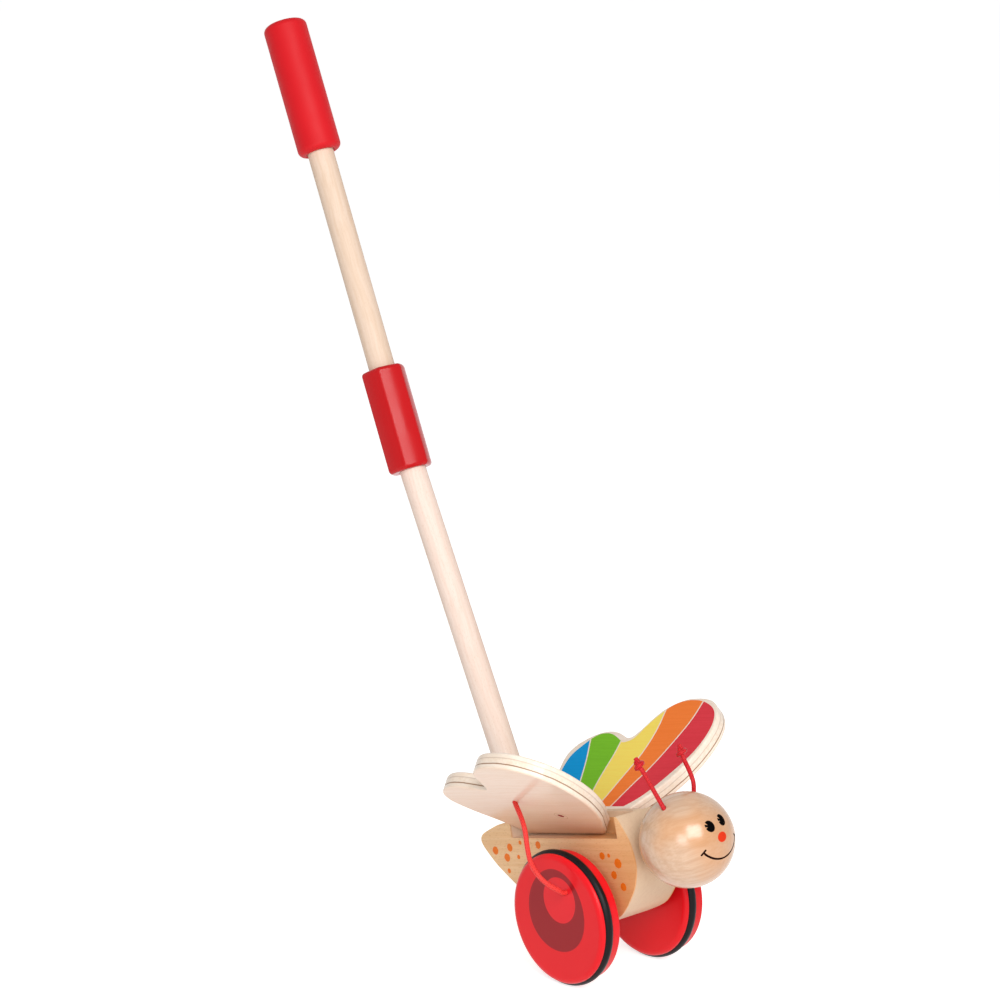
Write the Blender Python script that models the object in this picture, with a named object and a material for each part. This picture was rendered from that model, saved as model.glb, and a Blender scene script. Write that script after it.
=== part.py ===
"""Wooden butterfly push toy: a long handle, a carved body on two wheels and a pair of flapping wings.

Everything is in metres with +Z up. +X is the toy's nose, +Y its left side, and the origin lies on the
floor midway between the wheels. The body, head, handle and wings are drawn in the toy's own frame, whose
origin is the axle: X runs along the body's ledges towards the nose, Z stands square to them. That frame is
tipped nose-up by BODY_PITCH, as the toy stands when its handle is held.
"""
import math

import bmesh
import bpy
from mathutils import Matrix, Vector

# Clearances, edges and counts
GAP = 0.0003            # between pieces that touch
OVERRUN = 0.002         # how far every cutter runs past the face that it opens
SMALL_EDGE = 0.0010     # rounding of sawn and sanded wood
ROUND_SEGMENTS = 48     # wheels, tyres and the sleeve
BALL_SEGMENTS = 40
ROD_SEGMENTS = 28       # rods, bores and the grip
SMALL_SEGMENTS = 16     # pins, cord holes and knots
TYRE_SIDES = 10
CURVE_STEPS = 3         # points between two chosen points of an outline
ARC_STEPS = 3           # points in a turned edge's quarter circle
EDGE_STEPS = 2          # facets across a rounded board edge
ROUND_SHARE = 0.5       # a bevel of this profile is round
SHARP_ANGLE = math.radians(32)
FLAT_ANGLE = math.radians(28)

# Stance
BODY_PITCH = math.radians(14.1)

# Body block, sawn to a profile and notched along both top edges for the wing roots
BODY_LENGTH = 0.1220
BODY_HEIGHT = 0.0612
BODY_WIDTH = 0.0340
BODY_TAIL_X = -0.0764
BODY_BOTTOM_Z = -0.0102
BODY_OUTLINE_SHARES = (
    (0.872, 1.000), (0.918, 0.989), (0.959, 0.870), (0.984, 0.770), (0.999, 0.641), (0.998, 0.534),
    (0.977, 0.407), (0.946, 0.310), (0.897, 0.199), (0.843, 0.118), (0.741, 0.052), (0.643, 0.010),
    (0.544, 0.005), (0.446, 0.056), (0.348, 0.158), (0.257, 0.286), (0.179, 0.408), (0.101, 0.533),
    (0.051, 0.632), (0.009, 0.737), (0.002, 0.791), (0.020, 0.838), (0.083, 0.889), (0.151, 0.930),
    (0.225, 0.944), (0.462, 0.977), (0.708, 0.997),
)
NOTCH_DEPTH = 0.0120
NOTCH_FROM_TAIL = 0.0264
NOTCH_FROM_FRONT = 0.0106
WEB_THICKNESS = 0.0054  # wood left standing between the two notches

# Wheels and tyres. Both wheels are turned alike and face the same way, so each groove lies nearer the
# wheel's right-hand face, whose rim is also the rounder one.
WHEEL_RADIUS = 0.0350
WHEEL_WIDTH = 0.0130
WHEEL_FRONT_EDGE = 0.0034
WHEEL_FRONT_EDGE_DEPTH = 0.0022
WHEEL_BACK_EDGE = 0.0010
TYRE_RADIUS = 0.0367
TYRE_SECTION_RADIUS = 0.0025
TYRE_FROM_FRONT = 0.0050

# Axle, spacers and the crank holes that drive the wings
AXLE_RADIUS = 0.0030
AXLE_EDGE = 0.0005
AXLE_SEAT_DEPTH = 0.0090
SPACER_LENGTH = 0.0066
SPACER_RADIUS = 0.0065
CRANK_RADIUS = 0.0185   # from the axle to the cord's hole in the wheel
CRANK_ANGLE = math.radians(67.4)

# Head
HEAD_RADIUS = 0.0250
HEAD_SEAT_DEPTH = 0.0013
HEAD_BELOW_TOP = 0.0159
HEAD_DOWEL_RADIUS = 0.0040
HEAD_DOWEL_LENGTH = 0.0240
HEAD_DOWEL_IN_HEAD = 0.0130

# Handle
ROD_RADIUS = 0.0075
ROD_EDGE = 0.0008
LOWER_ROD_LENGTH = 0.2500
UPPER_ROD_LENGTH = 0.2030
LOWER_ROD_LEAN = math.radians(13.56)
UPPER_ROD_LEAN = math.radians(10.38)
ROD_FOOT_FROM_TAIL = 0.0257
ROD_FOOT_ABOVE_BOTTOM = 0.0354
ROD_END_GAP = 0.0020    # between the two rods, inside the sleeve
SLEEVE_LENGTH = 0.0595
SLEEVE_RISE = 0.0049    # the sleeve's middle above the rods' joint
SLEEVE_RADIUS = 0.0130
SLEEVE_FACETS = 6
SLEEVE_FLATNESS_SHARE = 0.45
SLEEVE_EDGE = 0.0022
GRIP_LENGTH = 0.0780
GRIP_RADIUS = 0.0125
GRIP_EDGE = 0.0035
GRIP_SEAT_DEPTH = 0.0400
GRIP_MOUTH_STEP = 0.0007

# Wings
WING_LENGTH = 0.1062
WING_SPAN = 0.0880
WING_THICKNESS = 0.0090
WING_BEHIND_NOTCH = 0.0112
WING_REST_ANGLE = math.radians(35.0)
WING_STOP_ANGLE = math.radians(36.9)
WING_OUTLINE_SHARES = (
    (0.722, 0.000), (0.748, 0.024), (0.816, 0.125), (0.878, 0.216), (0.934, 0.330), (0.972, 0.438),
    (0.993, 0.545), (1.000, 0.648), (0.993, 0.739), (0.967, 0.830), (0.925, 0.898), (0.868, 0.960),
    (0.802, 0.991), (0.727, 1.000), (0.652, 0.994), (0.586, 0.960), (0.529, 0.909), (0.492, 0.841),
    (0.463, 0.761), (0.430, 0.693), (0.393, 0.674), (0.336, 0.702), (0.266, 0.731), (0.190, 0.733),
    (0.124, 0.708), (0.068, 0.667), (0.025, 0.614), (0.002, 0.540), (0.007, 0.466), (0.027, 0.386),
    (0.054, 0.312), (0.087, 0.239), (0.115, 0.159), (0.134, 0.080), (0.143, 0.000),
)

# Cords and their knots
CORD_RADIUS = 0.00125
CORD_BEVEL_STEPS = 2
KNOT_RADIUS = 0.0023
KNOT_LENGTH = 0.0042
KNOT_TAIL_LENGTH = 0.0024
KNOT_SHAPE_SHARES = ((-0.36, 0.86), (-0.12, 1.00), (0.12, 0.94), (0.36, 0.84))
DRIVE_HOLE_FROM_REAR = 0.0517    # the drive cord's blind hole, from the wing's rear and from its hinge
DRIVE_HOLE_OUT = 0.0443
DRIVE_HOLE_DEPTH = 0.0060
DRIVE_STRAIGHT = 0.0020          # straight stretch of cord outside each hole
CRANK_SEAT_DEPTH = 0.0060
DRIVE_CORD_ROUTE = (             # toy's frame, left-hand cord, from the wing down to the wheel
    (0.0006, 0.0490, 0.0566), (0.0040, 0.0506, 0.0507), (0.0052, 0.0515, 0.0430),
    (0.0053, 0.0511, 0.0352), (0.0060, 0.0498, 0.0295), (0.0084, 0.0475, 0.0238),
    (0.0106, 0.0445, 0.0198), (0.0115, 0.0418, 0.0170),
)
TIE_FROM_REAR = 0.0680           # the cord that ties both wings to the web
TIE_ABOVE_LEDGE = 0.0030
TIE_REACH = 0.0270
TIE_ROUTE_SHARES = (0.00, 0.12, 0.35, 0.67, 1.00)
TIE_ACCESS_OUT = 0.0250
TIE_ACCESS_RADIUS = 0.0020
TIE_KNOT_RECESS = 0.0008
TIE_KNOT_EDGE = 0.0005

# Feelers on the head: the hole's mouth, the way up and the knot's middle, from the head's centre
FEELER_SEAT_DEPTH = 0.0080
FEELER_KNOT_LENGTH = 0.0046
FEELER_TAIL_LENGTH = 0.0018
FEELER_RIGHT_ROUTE = ((0.0023, -0.0149, 0.0199), (-0.0037, -0.0154, 0.0313), (-0.0097, -0.0160, 0.0428))
FEELER_LEFT_ROUTE = (
    (-0.0033, 0.0131, 0.0209), (-0.0028, 0.0136, 0.0274), (-0.0050, 0.0142, 0.0333),
    (-0.0079, 0.0147, 0.0386), (-0.0095, 0.0150, 0.0435),
)

# Places that follow from the sizes above
BODY_FRONT_X = BODY_TAIL_X + BODY_LENGTH
BODY_TOP_Z = BODY_BOTTOM_Z + BODY_HEIGHT
BODY_SIDE_Y = BODY_WIDTH / 2
LEDGE_Z = BODY_TOP_Z - NOTCH_DEPTH
NOTCH_REAR_X = BODY_TAIL_X + NOTCH_FROM_TAIL
NOTCH_FRONT_X = BODY_FRONT_X - NOTCH_FROM_FRONT
HEAD_X = BODY_FRONT_X + HEAD_RADIUS - HEAD_SEAT_DEPTH
HEAD_Z = BODY_TOP_Z - HEAD_BELOW_TOP
ROD_FOOT = Vector((BODY_TAIL_X + ROD_FOOT_FROM_TAIL, 0, BODY_BOTTOM_Z + ROD_FOOT_ABOVE_BOTTOM))
WHEEL_INNER_Y = BODY_SIDE_Y + GAP + SPACER_LENGTH + GAP
WHEEL_OUTER_Y = WHEEL_INNER_Y + WHEEL_WIDTH
TYRE_RING_RADIUS = TYRE_RADIUS - TYRE_SECTION_RADIUS
WING_REAR_X = NOTCH_REAR_X - WING_BEHIND_NOTCH
WING_MIDDLE_UP = WING_THICKNESS / 2
HINGE_Z = LEDGE_Z + GAP
HINGE_Y = (WEB_THICKNESS / 2 + GAP + SMALL_EDGE * (1 - math.cos(WING_STOP_ANGLE))
           + (WING_THICKNESS - SMALL_EDGE) * math.sin(WING_STOP_ANGLE))
DRIVE_HOLE_X = WING_REAR_X + DRIVE_HOLE_FROM_REAR
TIE_X = WING_REAR_X + TIE_FROM_REAR
TIE_Z = LEDGE_Z + TIE_ABOVE_LEDGE
BORE_RADIUS = ROD_RADIUS + GAP
CORD_HOLE_RADIUS = CORD_RADIUS + GAP
SIDES = (("left", 1), ("right", -1))
FORWARD = Vector((1, 0, 0))
ACROSS = Vector((0, 1, 0))
UP = Vector((0, 0, 1))


def material(name, colour, roughness, metallic=0.0):
    """One plain Principled finish."""
    finish = bpy.data.materials.new(name)
    finish.use_nodes = True
    shader = finish.node_tree.nodes["Principled BSDF"]
    shader.inputs["Base Color"].default_value = (*colour, 1)
    shader.inputs["Roughness"].default_value = roughness
    shader.inputs["Metallic"].default_value = metallic
    return finish


def place(name, data, parent, location=(0, 0, 0), way=None):
    """Adds an object under its parent; way is the direction that its own +Z is turned to."""
    obj = bpy.data.objects.new(name, data)
    bpy.context.scene.collection.objects.link(obj)
    obj.parent = parent
    obj.location = location
    if way is not None:
        obj.rotation_mode = "QUATERNION"
        obj.rotation_quaternion = UP.rotation_difference(Vector(way))
    return obj


def frame(name, parent, location, angle=0.0, axis="X"):
    """An empty that carries pieces and tips with them."""
    empty = place(name, None, parent, location)
    empty.rotation_mode = "QUATERNION"
    empty.rotation_quaternion = Matrix.Rotation(angle, 3, axis).to_quaternion()
    return empty


def finish_mesh(name, build, colour=None, sharp=SHARP_ANGLE):
    """Turns a bmesh into a smooth-shaded mesh with its faces pointing out."""
    bmesh.ops.recalc_face_normals(build, faces=build.faces)
    mesh = bpy.data.meshes.new(name)
    build.to_mesh(mesh)
    build.free()
    mesh.shade_smooth()
    mesh.set_sharp_from_angle(angle=sharp)
    if colour is not None:
        mesh.materials.append(colour)
    return mesh


def turned(name, profile, segments, colour=None, ring=False, reach_at=None):
    """A shape turned about Z from (radius, height) points; ring closes the profile on itself."""
    build = bmesh.new()
    loops = []
    for radius, height in profile:
        if radius <= 0:
            loops.append([build.verts.new((0, 0, height))])
            continue
        loop = []
        for step in range(segments):
            angle = math.tau * step / segments
            reach = radius * reach_at(angle) if reach_at else radius
            loop.append(build.verts.new((reach * math.cos(angle), reach * math.sin(angle), height)))
        loops.append(loop)
    pairs = list(zip(loops, loops[1:]))
    if ring:
        pairs.append((loops[-1], loops[0]))
    for low, high in pairs:
        for step in range(segments):
            after = (step + 1) % segments
            corners = [low[step % len(low)], low[after % len(low)],
                       high[after % len(high)], high[step % len(high)]]
            build.faces.new(list(dict.fromkeys(corners)))
    for loop in () if ring else (loops[0], loops[-1]):
        if len(loop) > 1:
            build.faces.new(loop)
    return finish_mesh(name, build, colour)


def quarter(radius, height, across, along, start_degrees):
    """A turned edge's quarter ellipse about (radius, height), running anticlockwise from start_degrees."""
    points = []
    for step in range(ARC_STEPS + 1):
        angle = math.radians(start_degrees) + math.pi / 2 * step / ARC_STEPS
        points.append((radius + across * math.cos(angle), height + along * math.sin(angle)))
    return points


def rod_profile(radius, start, end, edge):
    """The profile of a plain rod with a small flat on each end's rim."""
    return [(0, start), (radius - edge, start), (radius, start + edge),
            (radius, end - edge), (radius - edge, end), (0, end)]


def ball(name, radius, colour=None):
    """A sphere with its poles on its own Z."""
    build = bmesh.new()
    bmesh.ops.create_uvsphere(build, u_segments=BALL_SEGMENTS, v_segments=BALL_SEGMENTS // 2, radius=radius)
    return finish_mesh(name, build, colour)


def smooth_points(points, steps, closed=False):
    """Points read from a smooth curve that passes through the chosen ones."""
    points = [Vector(point) for point in points]
    count = len(points)
    result = []
    for index in range(count if closed else count - 1):
        if closed:
            before, start, end, after = (points[(index + shift) % count] for shift in (-1, 0, 1, 2))
        else:
            start, end = points[index], points[index + 1]
            before = points[index - 1] if index else start * 2 - end
            after = points[index + 2] if index + 2 < count else end * 2 - start
        for step in range(steps):
            t = step / steps
            result.append((start * 2 + (end - before) * t
                           + (before * 2 - start * 5 + end * 4 - after) * t ** 2
                           + (start * 3 - before - end * 3 + after) * t ** 3) / 2)
    if not closed:
        result.append(points[-1])
    return result


def board(name, outline, along, thickness, colour):
    """A board sawn to an outline: 3-D points of one face, thickened along a direction, with rounded rims."""
    build = bmesh.new()
    face = build.faces.new([build.verts.new(point) for point in outline])
    rim = list(face.edges)
    extruded = bmesh.ops.extrude_face_region(build, geom=[face], use_keep_orig=True)["geom"]
    moved = [part for part in extruded if isinstance(part, bmesh.types.BMVert)]
    rim += [part for part in extruded if isinstance(part, bmesh.types.BMEdge)]
    bmesh.ops.translate(build, verts=moved, vec=along * thickness)
    bmesh.ops.recalc_face_normals(build, faces=build.faces)
    bmesh.ops.bevel(build, geom=rim, offset=SMALL_EDGE, segments=EDGE_STEPS, profile=ROUND_SHARE,
                    affect="EDGES", clamp_overlap=True)
    return finish_mesh(name, build, colour, FLAT_ANGLE)


def block(name, low, high):
    """A plain box between two corners, used only as a cutter."""
    build = bmesh.new()
    bmesh.ops.create_cube(build, size=1)
    for vert in build.verts:
        for axis in range(3):
            vert.co[axis] = low[axis] if vert.co[axis] < 0 else high[axis]
    return finish_mesh(name, build)


def cut(piece, tool):
    """Takes one object's shape out of a piece and keeps the cutter out of sight."""
    tool.hide_render = True
    tool.display_type = "WIRE"
    modifier = piece.modifiers.new(tool.name, "BOOLEAN")
    modifier.operation = "DIFFERENCE"
    modifier.object = tool


def drill(piece, name, parent, mouth, way, radius, depth, segments=SMALL_SEGMENTS):
    """Drills a blind or through hole from its mouth along a direction, starting outside the surface."""
    way = Vector(way).normalized()
    mesh = turned(name, [(radius, -OVERRUN), (radius, depth)], segments)
    cut(piece, place(name, mesh, parent, mouth, way))


def leaning(angle):
    """The direction of a rod that leans back from the toy's own upright by an angle."""
    return Vector((-math.sin(angle), 0, math.cos(angle)))


def cord(name, points, parent, colour, radii=None):
    """A round cord along points that lie on one smooth curve."""
    curve = bpy.data.curves.new(name, "CURVE")
    curve.dimensions = "3D"
    curve.bevel_depth = CORD_RADIUS
    curve.bevel_resolution = CORD_BEVEL_STEPS
    curve.use_fill_caps = True
    spline = curve.splines.new("POLY")
    spline.points.add(len(points) - 1)
    for index, point in enumerate(points):
        spline.points[index].co = (*point, 1)
        spline.points[index].radius = radii[index] if radii else 1
    curve.materials.append(colour)
    return place(name, curve, parent)


def knotted(points, knot, way, length, tail):
    """Adds a knot about a middle point to a cord's points, and the tail that stands out of it."""
    radii = [1] * (len(points) + 1)
    points = points + [knot - way * length / 2]
    for along, fatness in KNOT_SHAPE_SHARES:
        points.append(knot + way * length * along)
        radii.append(fatness * KNOT_RADIUS / CORD_RADIUS)
    points += [knot + way * length / 2, knot + way * (length / 2 + tail)]
    return points, radii + [1, 1]


def build_body(toy, wood):
    """The body block with its notches, bores and the dish that seats the head."""
    shares = smooth_points([(*share, 0) for share in BODY_OUTLINE_SHARES], CURVE_STEPS, closed=True)
    outline = [(BODY_TAIL_X + BODY_LENGTH * share.x, -BODY_SIDE_Y, BODY_BOTTOM_Z + BODY_HEIGHT * share.y)
               for share in shares]
    body = place("body_block", board("body_block", outline, ACROSS, BODY_WIDTH, wood), toy)
    for word, side in SIDES:
        near, far = sorted((side * WEB_THICKNESS / 2, side * (BODY_SIDE_Y + OVERRUN)))
        notch = block("notch_cut_" + word, (NOTCH_REAR_X, near, LEDGE_Z),
                      (NOTCH_FRONT_X, far, BODY_TOP_Z + OVERRUN))
        cut(body, place("notch_cut_" + word, notch, toy))
    drill(body, "axle_bore", toy, (0, -BODY_SIDE_Y, 0), ACROSS, AXLE_RADIUS + GAP, BODY_WIDTH + OVERRUN)
    drill(body, "tie_bore", toy, (TIE_X, -WEB_THICKNESS / 2, TIE_Z), ACROSS, CORD_HOLE_RADIUS,
          WEB_THICKNESS + OVERRUN)
    lean = leaning(LOWER_ROD_LEAN)
    drill(body, "handle_bore", toy, ROD_FOOT + lean * BODY_HEIGHT, -lean, BORE_RADIUS, BODY_HEIGHT + GAP,
          ROD_SEGMENTS)
    dish = ball("head_dish", HEAD_RADIUS + GAP)
    cut(body, place("head_dish", dish, toy, (HEAD_X, 0, HEAD_Z), FORWARD))
    in_body = HEAD_DOWEL_LENGTH - HEAD_DOWEL_IN_HEAD
    drill(body, "head_dowel_bore", toy, (HEAD_X - HEAD_RADIUS, 0, HEAD_Z), -FORWARD, HEAD_DOWEL_RADIUS + GAP,
          in_body + GAP)


def build_head(toy, wood, dowel_wood, cord_red):
    """The ball head, the dowel that holds it and its two feelers."""
    centre = frame("head_frame", toy, (HEAD_X, 0, HEAD_Z))
    head = place("head_ball", ball("head_ball", HEAD_RADIUS, wood), centre, way=FORWARD)
    back = (-HEAD_RADIUS, 0, 0)
    drill(head, "head_bore", centre, back, FORWARD, HEAD_DOWEL_RADIUS + GAP, HEAD_DOWEL_IN_HEAD + GAP)
    profile = rod_profile(HEAD_DOWEL_RADIUS, HEAD_DOWEL_IN_HEAD - HEAD_DOWEL_LENGTH, HEAD_DOWEL_IN_HEAD,
                          ROD_EDGE)
    place("head_dowel", turned("head_dowel", profile, SMALL_SEGMENTS, dowel_wood), centre, back, FORWARD)
    for name, route in (("antenna_left", FEELER_LEFT_ROUTE), ("antenna_right", FEELER_RIGHT_ROUTE)):
        mouth, *middle, knot = (Vector(point) for point in route)
        into = (mouth - middle[0]).normalized()
        out = (knot - middle[-1]).normalized()
        start = knot - out * FEELER_KNOT_LENGTH / 2
        points = [mouth + into * FEELER_SEAT_DEPTH] + smooth_points([mouth, *middle, start], CURVE_STEPS)[:-1]
        points, radii = knotted(points, knot, out, FEELER_KNOT_LENGTH, FEELER_TAIL_LENGTH)
        cord(name, points, centre, cord_red, radii)
        drill(head, name + "_hole", centre, mouth, into, CORD_HOLE_RADIUS, FEELER_SEAT_DEPTH + GAP)


def build_handle(toy, wood, sleeve_red, grip_red):
    """Two dowel rods, the sleeve that joins them and the grip."""
    lower_way = leaning(LOWER_ROD_LEAN)
    upper_way = leaning(UPPER_ROD_LEAN)
    kink = ROD_FOOT + lower_way * (LOWER_ROD_LENGTH + ROD_END_GAP / 2)
    upper_foot = kink + upper_way * ROD_END_GAP / 2
    lower = turned("lower_rod", rod_profile(ROD_RADIUS, 0, LOWER_ROD_LENGTH, ROD_EDGE), ROD_SEGMENTS, wood)
    place("lower_rod", lower, toy, ROD_FOOT, lower_way)
    upper = turned("upper_rod", rod_profile(ROD_RADIUS, 0, UPPER_ROD_LENGTH, ROD_EDGE), ROD_SEGMENTS, wood)
    place("upper_rod", upper, toy, upper_foot, upper_way)
    build_sleeve(toy, kink, lower_way, upper_way, sleeve_red)
    build_grip(toy, upper_foot + upper_way * (UPPER_ROD_LENGTH - GRIP_SEAT_DEPTH), upper_way, grip_red)


def build_sleeve(toy, kink, lower_way, upper_way, colour):
    """The moulded sleeve: six softly rounded flats, with a bore for each rod."""
    def facet(angle):
        step = math.tau / SLEEVE_FACETS
        off = (angle + step / 2) % step - step / 2
        flat = math.cos(step / 2) / math.cos(step / 2 - abs(off))
        return 1 + (flat - 1) * SLEEVE_FLATNESS_SHARE

    half = SLEEVE_LENGTH / 2
    inside = SLEEVE_RADIUS - SLEEVE_EDGE
    profile = quarter(inside, SLEEVE_EDGE - half, SLEEVE_EDGE, SLEEVE_EDGE, -90)
    profile += quarter(inside, half - SLEEVE_EDGE, SLEEVE_EDGE, SLEEVE_EDGE, 0)
    mesh = turned("coupling_sleeve", profile, ROUND_SEGMENTS, colour, reach_at=facet)
    sleeve = place("coupling_sleeve", mesh, toy, kink + upper_way * SLEEVE_RISE, upper_way)
    for name, rod_way, run in (("sleeve_upper_bore", upper_way, half + SLEEVE_RISE),
                               ("sleeve_lower_bore", -lower_way, half - SLEEVE_RISE)):
        bore = turned(name, [(BORE_RADIUS, 0), (BORE_RADIUS, run + OVERRUN)], ROD_SEGMENTS)
        cut(sleeve, place(name, bore, toy, kink, rod_way))


def build_grip(toy, foot, way, colour):
    """The turned grip with a blind bore, whose mouth opens a little."""
    bore_end = GRIP_SEAT_DEPTH + GAP
    profile = [(0, bore_end), (BORE_RADIUS, bore_end), (BORE_RADIUS, GRIP_MOUTH_STEP),
               (BORE_RADIUS + GRIP_MOUTH_STEP, 0)]
    profile += quarter(GRIP_RADIUS - GRIP_EDGE, GRIP_EDGE, GRIP_EDGE, GRIP_EDGE, -90)
    profile += quarter(GRIP_RADIUS - GRIP_EDGE, GRIP_LENGTH - GRIP_EDGE, GRIP_EDGE, GRIP_EDGE, 0)
    profile.append((0, GRIP_LENGTH))
    place("grip", turned("grip", profile, ROD_SEGMENTS, colour), toy, foot, way)


def wheel_profile():
    """Half a wheel's section from its front face, with the groove that holds the rubber ring."""
    groove = TYRE_SECTION_RADIUS + GAP
    drop = WHEEL_RADIUS - TYRE_RING_RADIUS
    opening = math.acos(drop / groove)
    half_mouth = groove * math.sin(opening)
    profile = [(0, 0)]
    profile += quarter(WHEEL_RADIUS - WHEEL_FRONT_EDGE, WHEEL_FRONT_EDGE_DEPTH, WHEEL_FRONT_EDGE,
                       WHEEL_FRONT_EDGE_DEPTH, -90)
    profile.append((WHEEL_RADIUS, TYRE_FROM_FRONT - half_mouth))
    turns = ARC_STEPS * 2
    for step in range(1, turns):
        angle = -opening - (math.tau - 2 * opening) * step / turns
        profile.append((TYRE_RING_RADIUS + groove * math.cos(angle),
                        TYRE_FROM_FRONT + groove * math.sin(angle)))
    profile.append((WHEEL_RADIUS, TYRE_FROM_FRONT + half_mouth))
    profile += quarter(WHEEL_RADIUS - WHEEL_BACK_EDGE, WHEEL_WIDTH - WHEEL_BACK_EDGE, WHEEL_BACK_EDGE,
                       WHEEL_BACK_EDGE, 0)
    profile.append((0, WHEEL_WIDTH))
    return profile


def build_wheels(wheelset, wheel_red, rubber, steel, nylon, cord_red):
    """The axle, and on each side a spacer, a grooved wheel, its rubber ring and the cord's end knot."""
    half_axle = WHEEL_INNER_Y + AXLE_SEAT_DEPTH - GAP
    axle = turned("axle", rod_profile(AXLE_RADIUS, -half_axle, half_axle, AXLE_EDGE), SMALL_SEGMENTS, steel)
    place("axle", axle, wheelset, way=ACROSS)
    bore = AXLE_RADIUS + GAP
    tyre = []
    for step in range(TYRE_SIDES):
        angle = math.tau * step / TYRE_SIDES
        tyre.append((TYRE_RING_RADIUS + TYRE_SECTION_RADIUS * math.cos(angle),
                     TYRE_FROM_FRONT + TYRE_SECTION_RADIUS * math.sin(angle)))
    spacer = [(SPACER_RADIUS, 0), (SPACER_RADIUS, SPACER_LENGTH), (bore, SPACER_LENGTH), (bore, 0)]
    crank = Vector((math.cos(CRANK_ANGLE), 0, math.sin(CRANK_ANGLE))) * CRANK_RADIUS
    for word, side in SIDES:
        front = ACROSS * (WHEEL_INNER_Y if side > 0 else -WHEEL_OUTER_Y)
        inner = ACROSS * side * WHEEL_INNER_Y
        outward = ACROSS * side
        wheel = place("wheel_" + word, turned("wheel_" + word, wheel_profile(), ROUND_SEGMENTS, wheel_red),
                      wheelset, front, ACROSS)
        drill(wheel, "wheel_bore_" + word, wheelset, inner, outward, bore, AXLE_SEAT_DEPTH)
        drill(wheel, "crank_hole_" + word, wheelset, crank + inner, outward, CORD_HOLE_RADIUS,
              WHEEL_WIDTH + OVERRUN)
        ring = turned("tyre_" + word, tyre, ROUND_SEGMENTS, rubber, ring=True)
        place("tyre_" + word, ring, wheelset, front, ACROSS)
        mesh = turned("axle_spacer_" + word, spacer, ROD_SEGMENTS, nylon, ring=True)
        place("axle_spacer_" + word, mesh, wheelset, outward * (BODY_SIDE_Y + GAP), outward)
        end = crank + outward * (WHEEL_OUTER_Y - CRANK_SEAT_DEPTH - GAP)
        knot = crank + outward * (WHEEL_INNER_Y - GAP - KNOT_LENGTH / 2)
        points, radii = knotted([end], knot, -outward, KNOT_LENGTH, KNOT_TAIL_LENGTH)
        cord("cord_knot_" + word, points, wheelset, cord_red, radii)


def wing_point(side, along, out, up):
    """A place on a wing at rest: along the toy, out from its hinge and up from its lower face."""
    turn = Matrix.Rotation(side * WING_REST_ANGLE, 3, "X")
    return Vector((0, side * HINGE_Y, HINGE_Z)) + turn @ Vector((along, side * out, up))


def build_wings(toy, ply, cord_red):
    """Both wings with their cord holes, the knots in them, the cord that ties them and the drive cords."""
    shares = smooth_points([(*share, 0) for share in WING_OUTLINE_SHARES], CURVE_STEPS - 1)
    for word, side in SIDES:
        hinge = frame("wing_hinge_" + word, toy, (0, side * HINGE_Y, HINGE_Z), side * WING_REST_ANGLE)
        outline = [(WING_REAR_X + WING_LENGTH * share.x, side * WING_SPAN * share.y, 0) for share in shares]
        wing = place("wing_" + word, board("wing_" + word, outline, UP, WING_THICKNESS, ply), hinge)
        drill(wing, "drive_hole_" + word, hinge, (DRIVE_HOLE_X, side * DRIVE_HOLE_OUT, 0), UP,
              CORD_HOLE_RADIUS, DRIVE_HOLE_DEPTH)
        drill(wing, "tie_tunnel_" + word, hinge, (TIE_X, 0, WING_MIDDLE_UP), ACROSS * side, CORD_HOLE_RADIUS,
              TIE_REACH + GAP)
        access = (TIE_X, side * TIE_ACCESS_OUT, 0)
        drill(wing, "tie_access_" + word, hinge, access, UP, TIE_ACCESS_RADIUS, WING_MIDDLE_UP)
        top = WING_MIDDLE_UP - CORD_RADIUS - GAP
        profile = rod_profile(TIE_ACCESS_RADIUS - GAP, TIE_KNOT_RECESS, top, TIE_KNOT_EDGE)
        knot = turned("tie_knot_" + word, profile, SMALL_SEGMENTS, cord_red)
        place("tie_knot_" + word, knot, hinge, access)
        build_drive_cord(toy, side, word, cord_red)
    build_tie(toy, cord_red)


def build_tie(toy, cord_red):
    """The cord through the web, whose ends lie in the two wings."""
    half = [Vector((TIE_X, 0, TIE_Z)), Vector((TIE_X, WEB_THICKNESS / 2, TIE_Z))]
    half += [wing_point(1, TIE_X, TIE_REACH * share, WING_MIDDLE_UP) for share in TIE_ROUTE_SHARES]
    mirrored = [Vector((point.x, -point.y, point.z)) for point in reversed(half[1:])]
    cord("wing_tie_cord", smooth_points(mirrored + half, CURVE_STEPS), toy, cord_red)


def build_drive_cord(toy, side, word, cord_red):
    """The cord from the wing's blind hole down to the wheel's crank hole."""
    seat = wing_point(side, DRIVE_HOLE_X, DRIVE_HOLE_OUT, DRIVE_HOLE_DEPTH - GAP)
    mouth = wing_point(side, DRIVE_HOLE_X, DRIVE_HOLE_OUT, -DRIVE_STRAIGHT)
    middle = [Vector((x, side * y, z)) for x, y, z in DRIVE_CORD_ROUTE]
    angle = CRANK_ANGLE - BODY_PITCH
    crank = Vector((math.cos(angle), 0, math.sin(angle))) * CRANK_RADIUS
    outside = crank + ACROSS * side * (WHEEL_OUTER_Y + DRIVE_STRAIGHT)
    end = crank + ACROSS * side * (WHEEL_OUTER_Y - CRANK_SEAT_DEPTH)
    points = [seat] + smooth_points([mouth, *middle, outside], CURVE_STEPS) + [end]
    cord("drive_cord_" + word, points, toy, cord_red)


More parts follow.
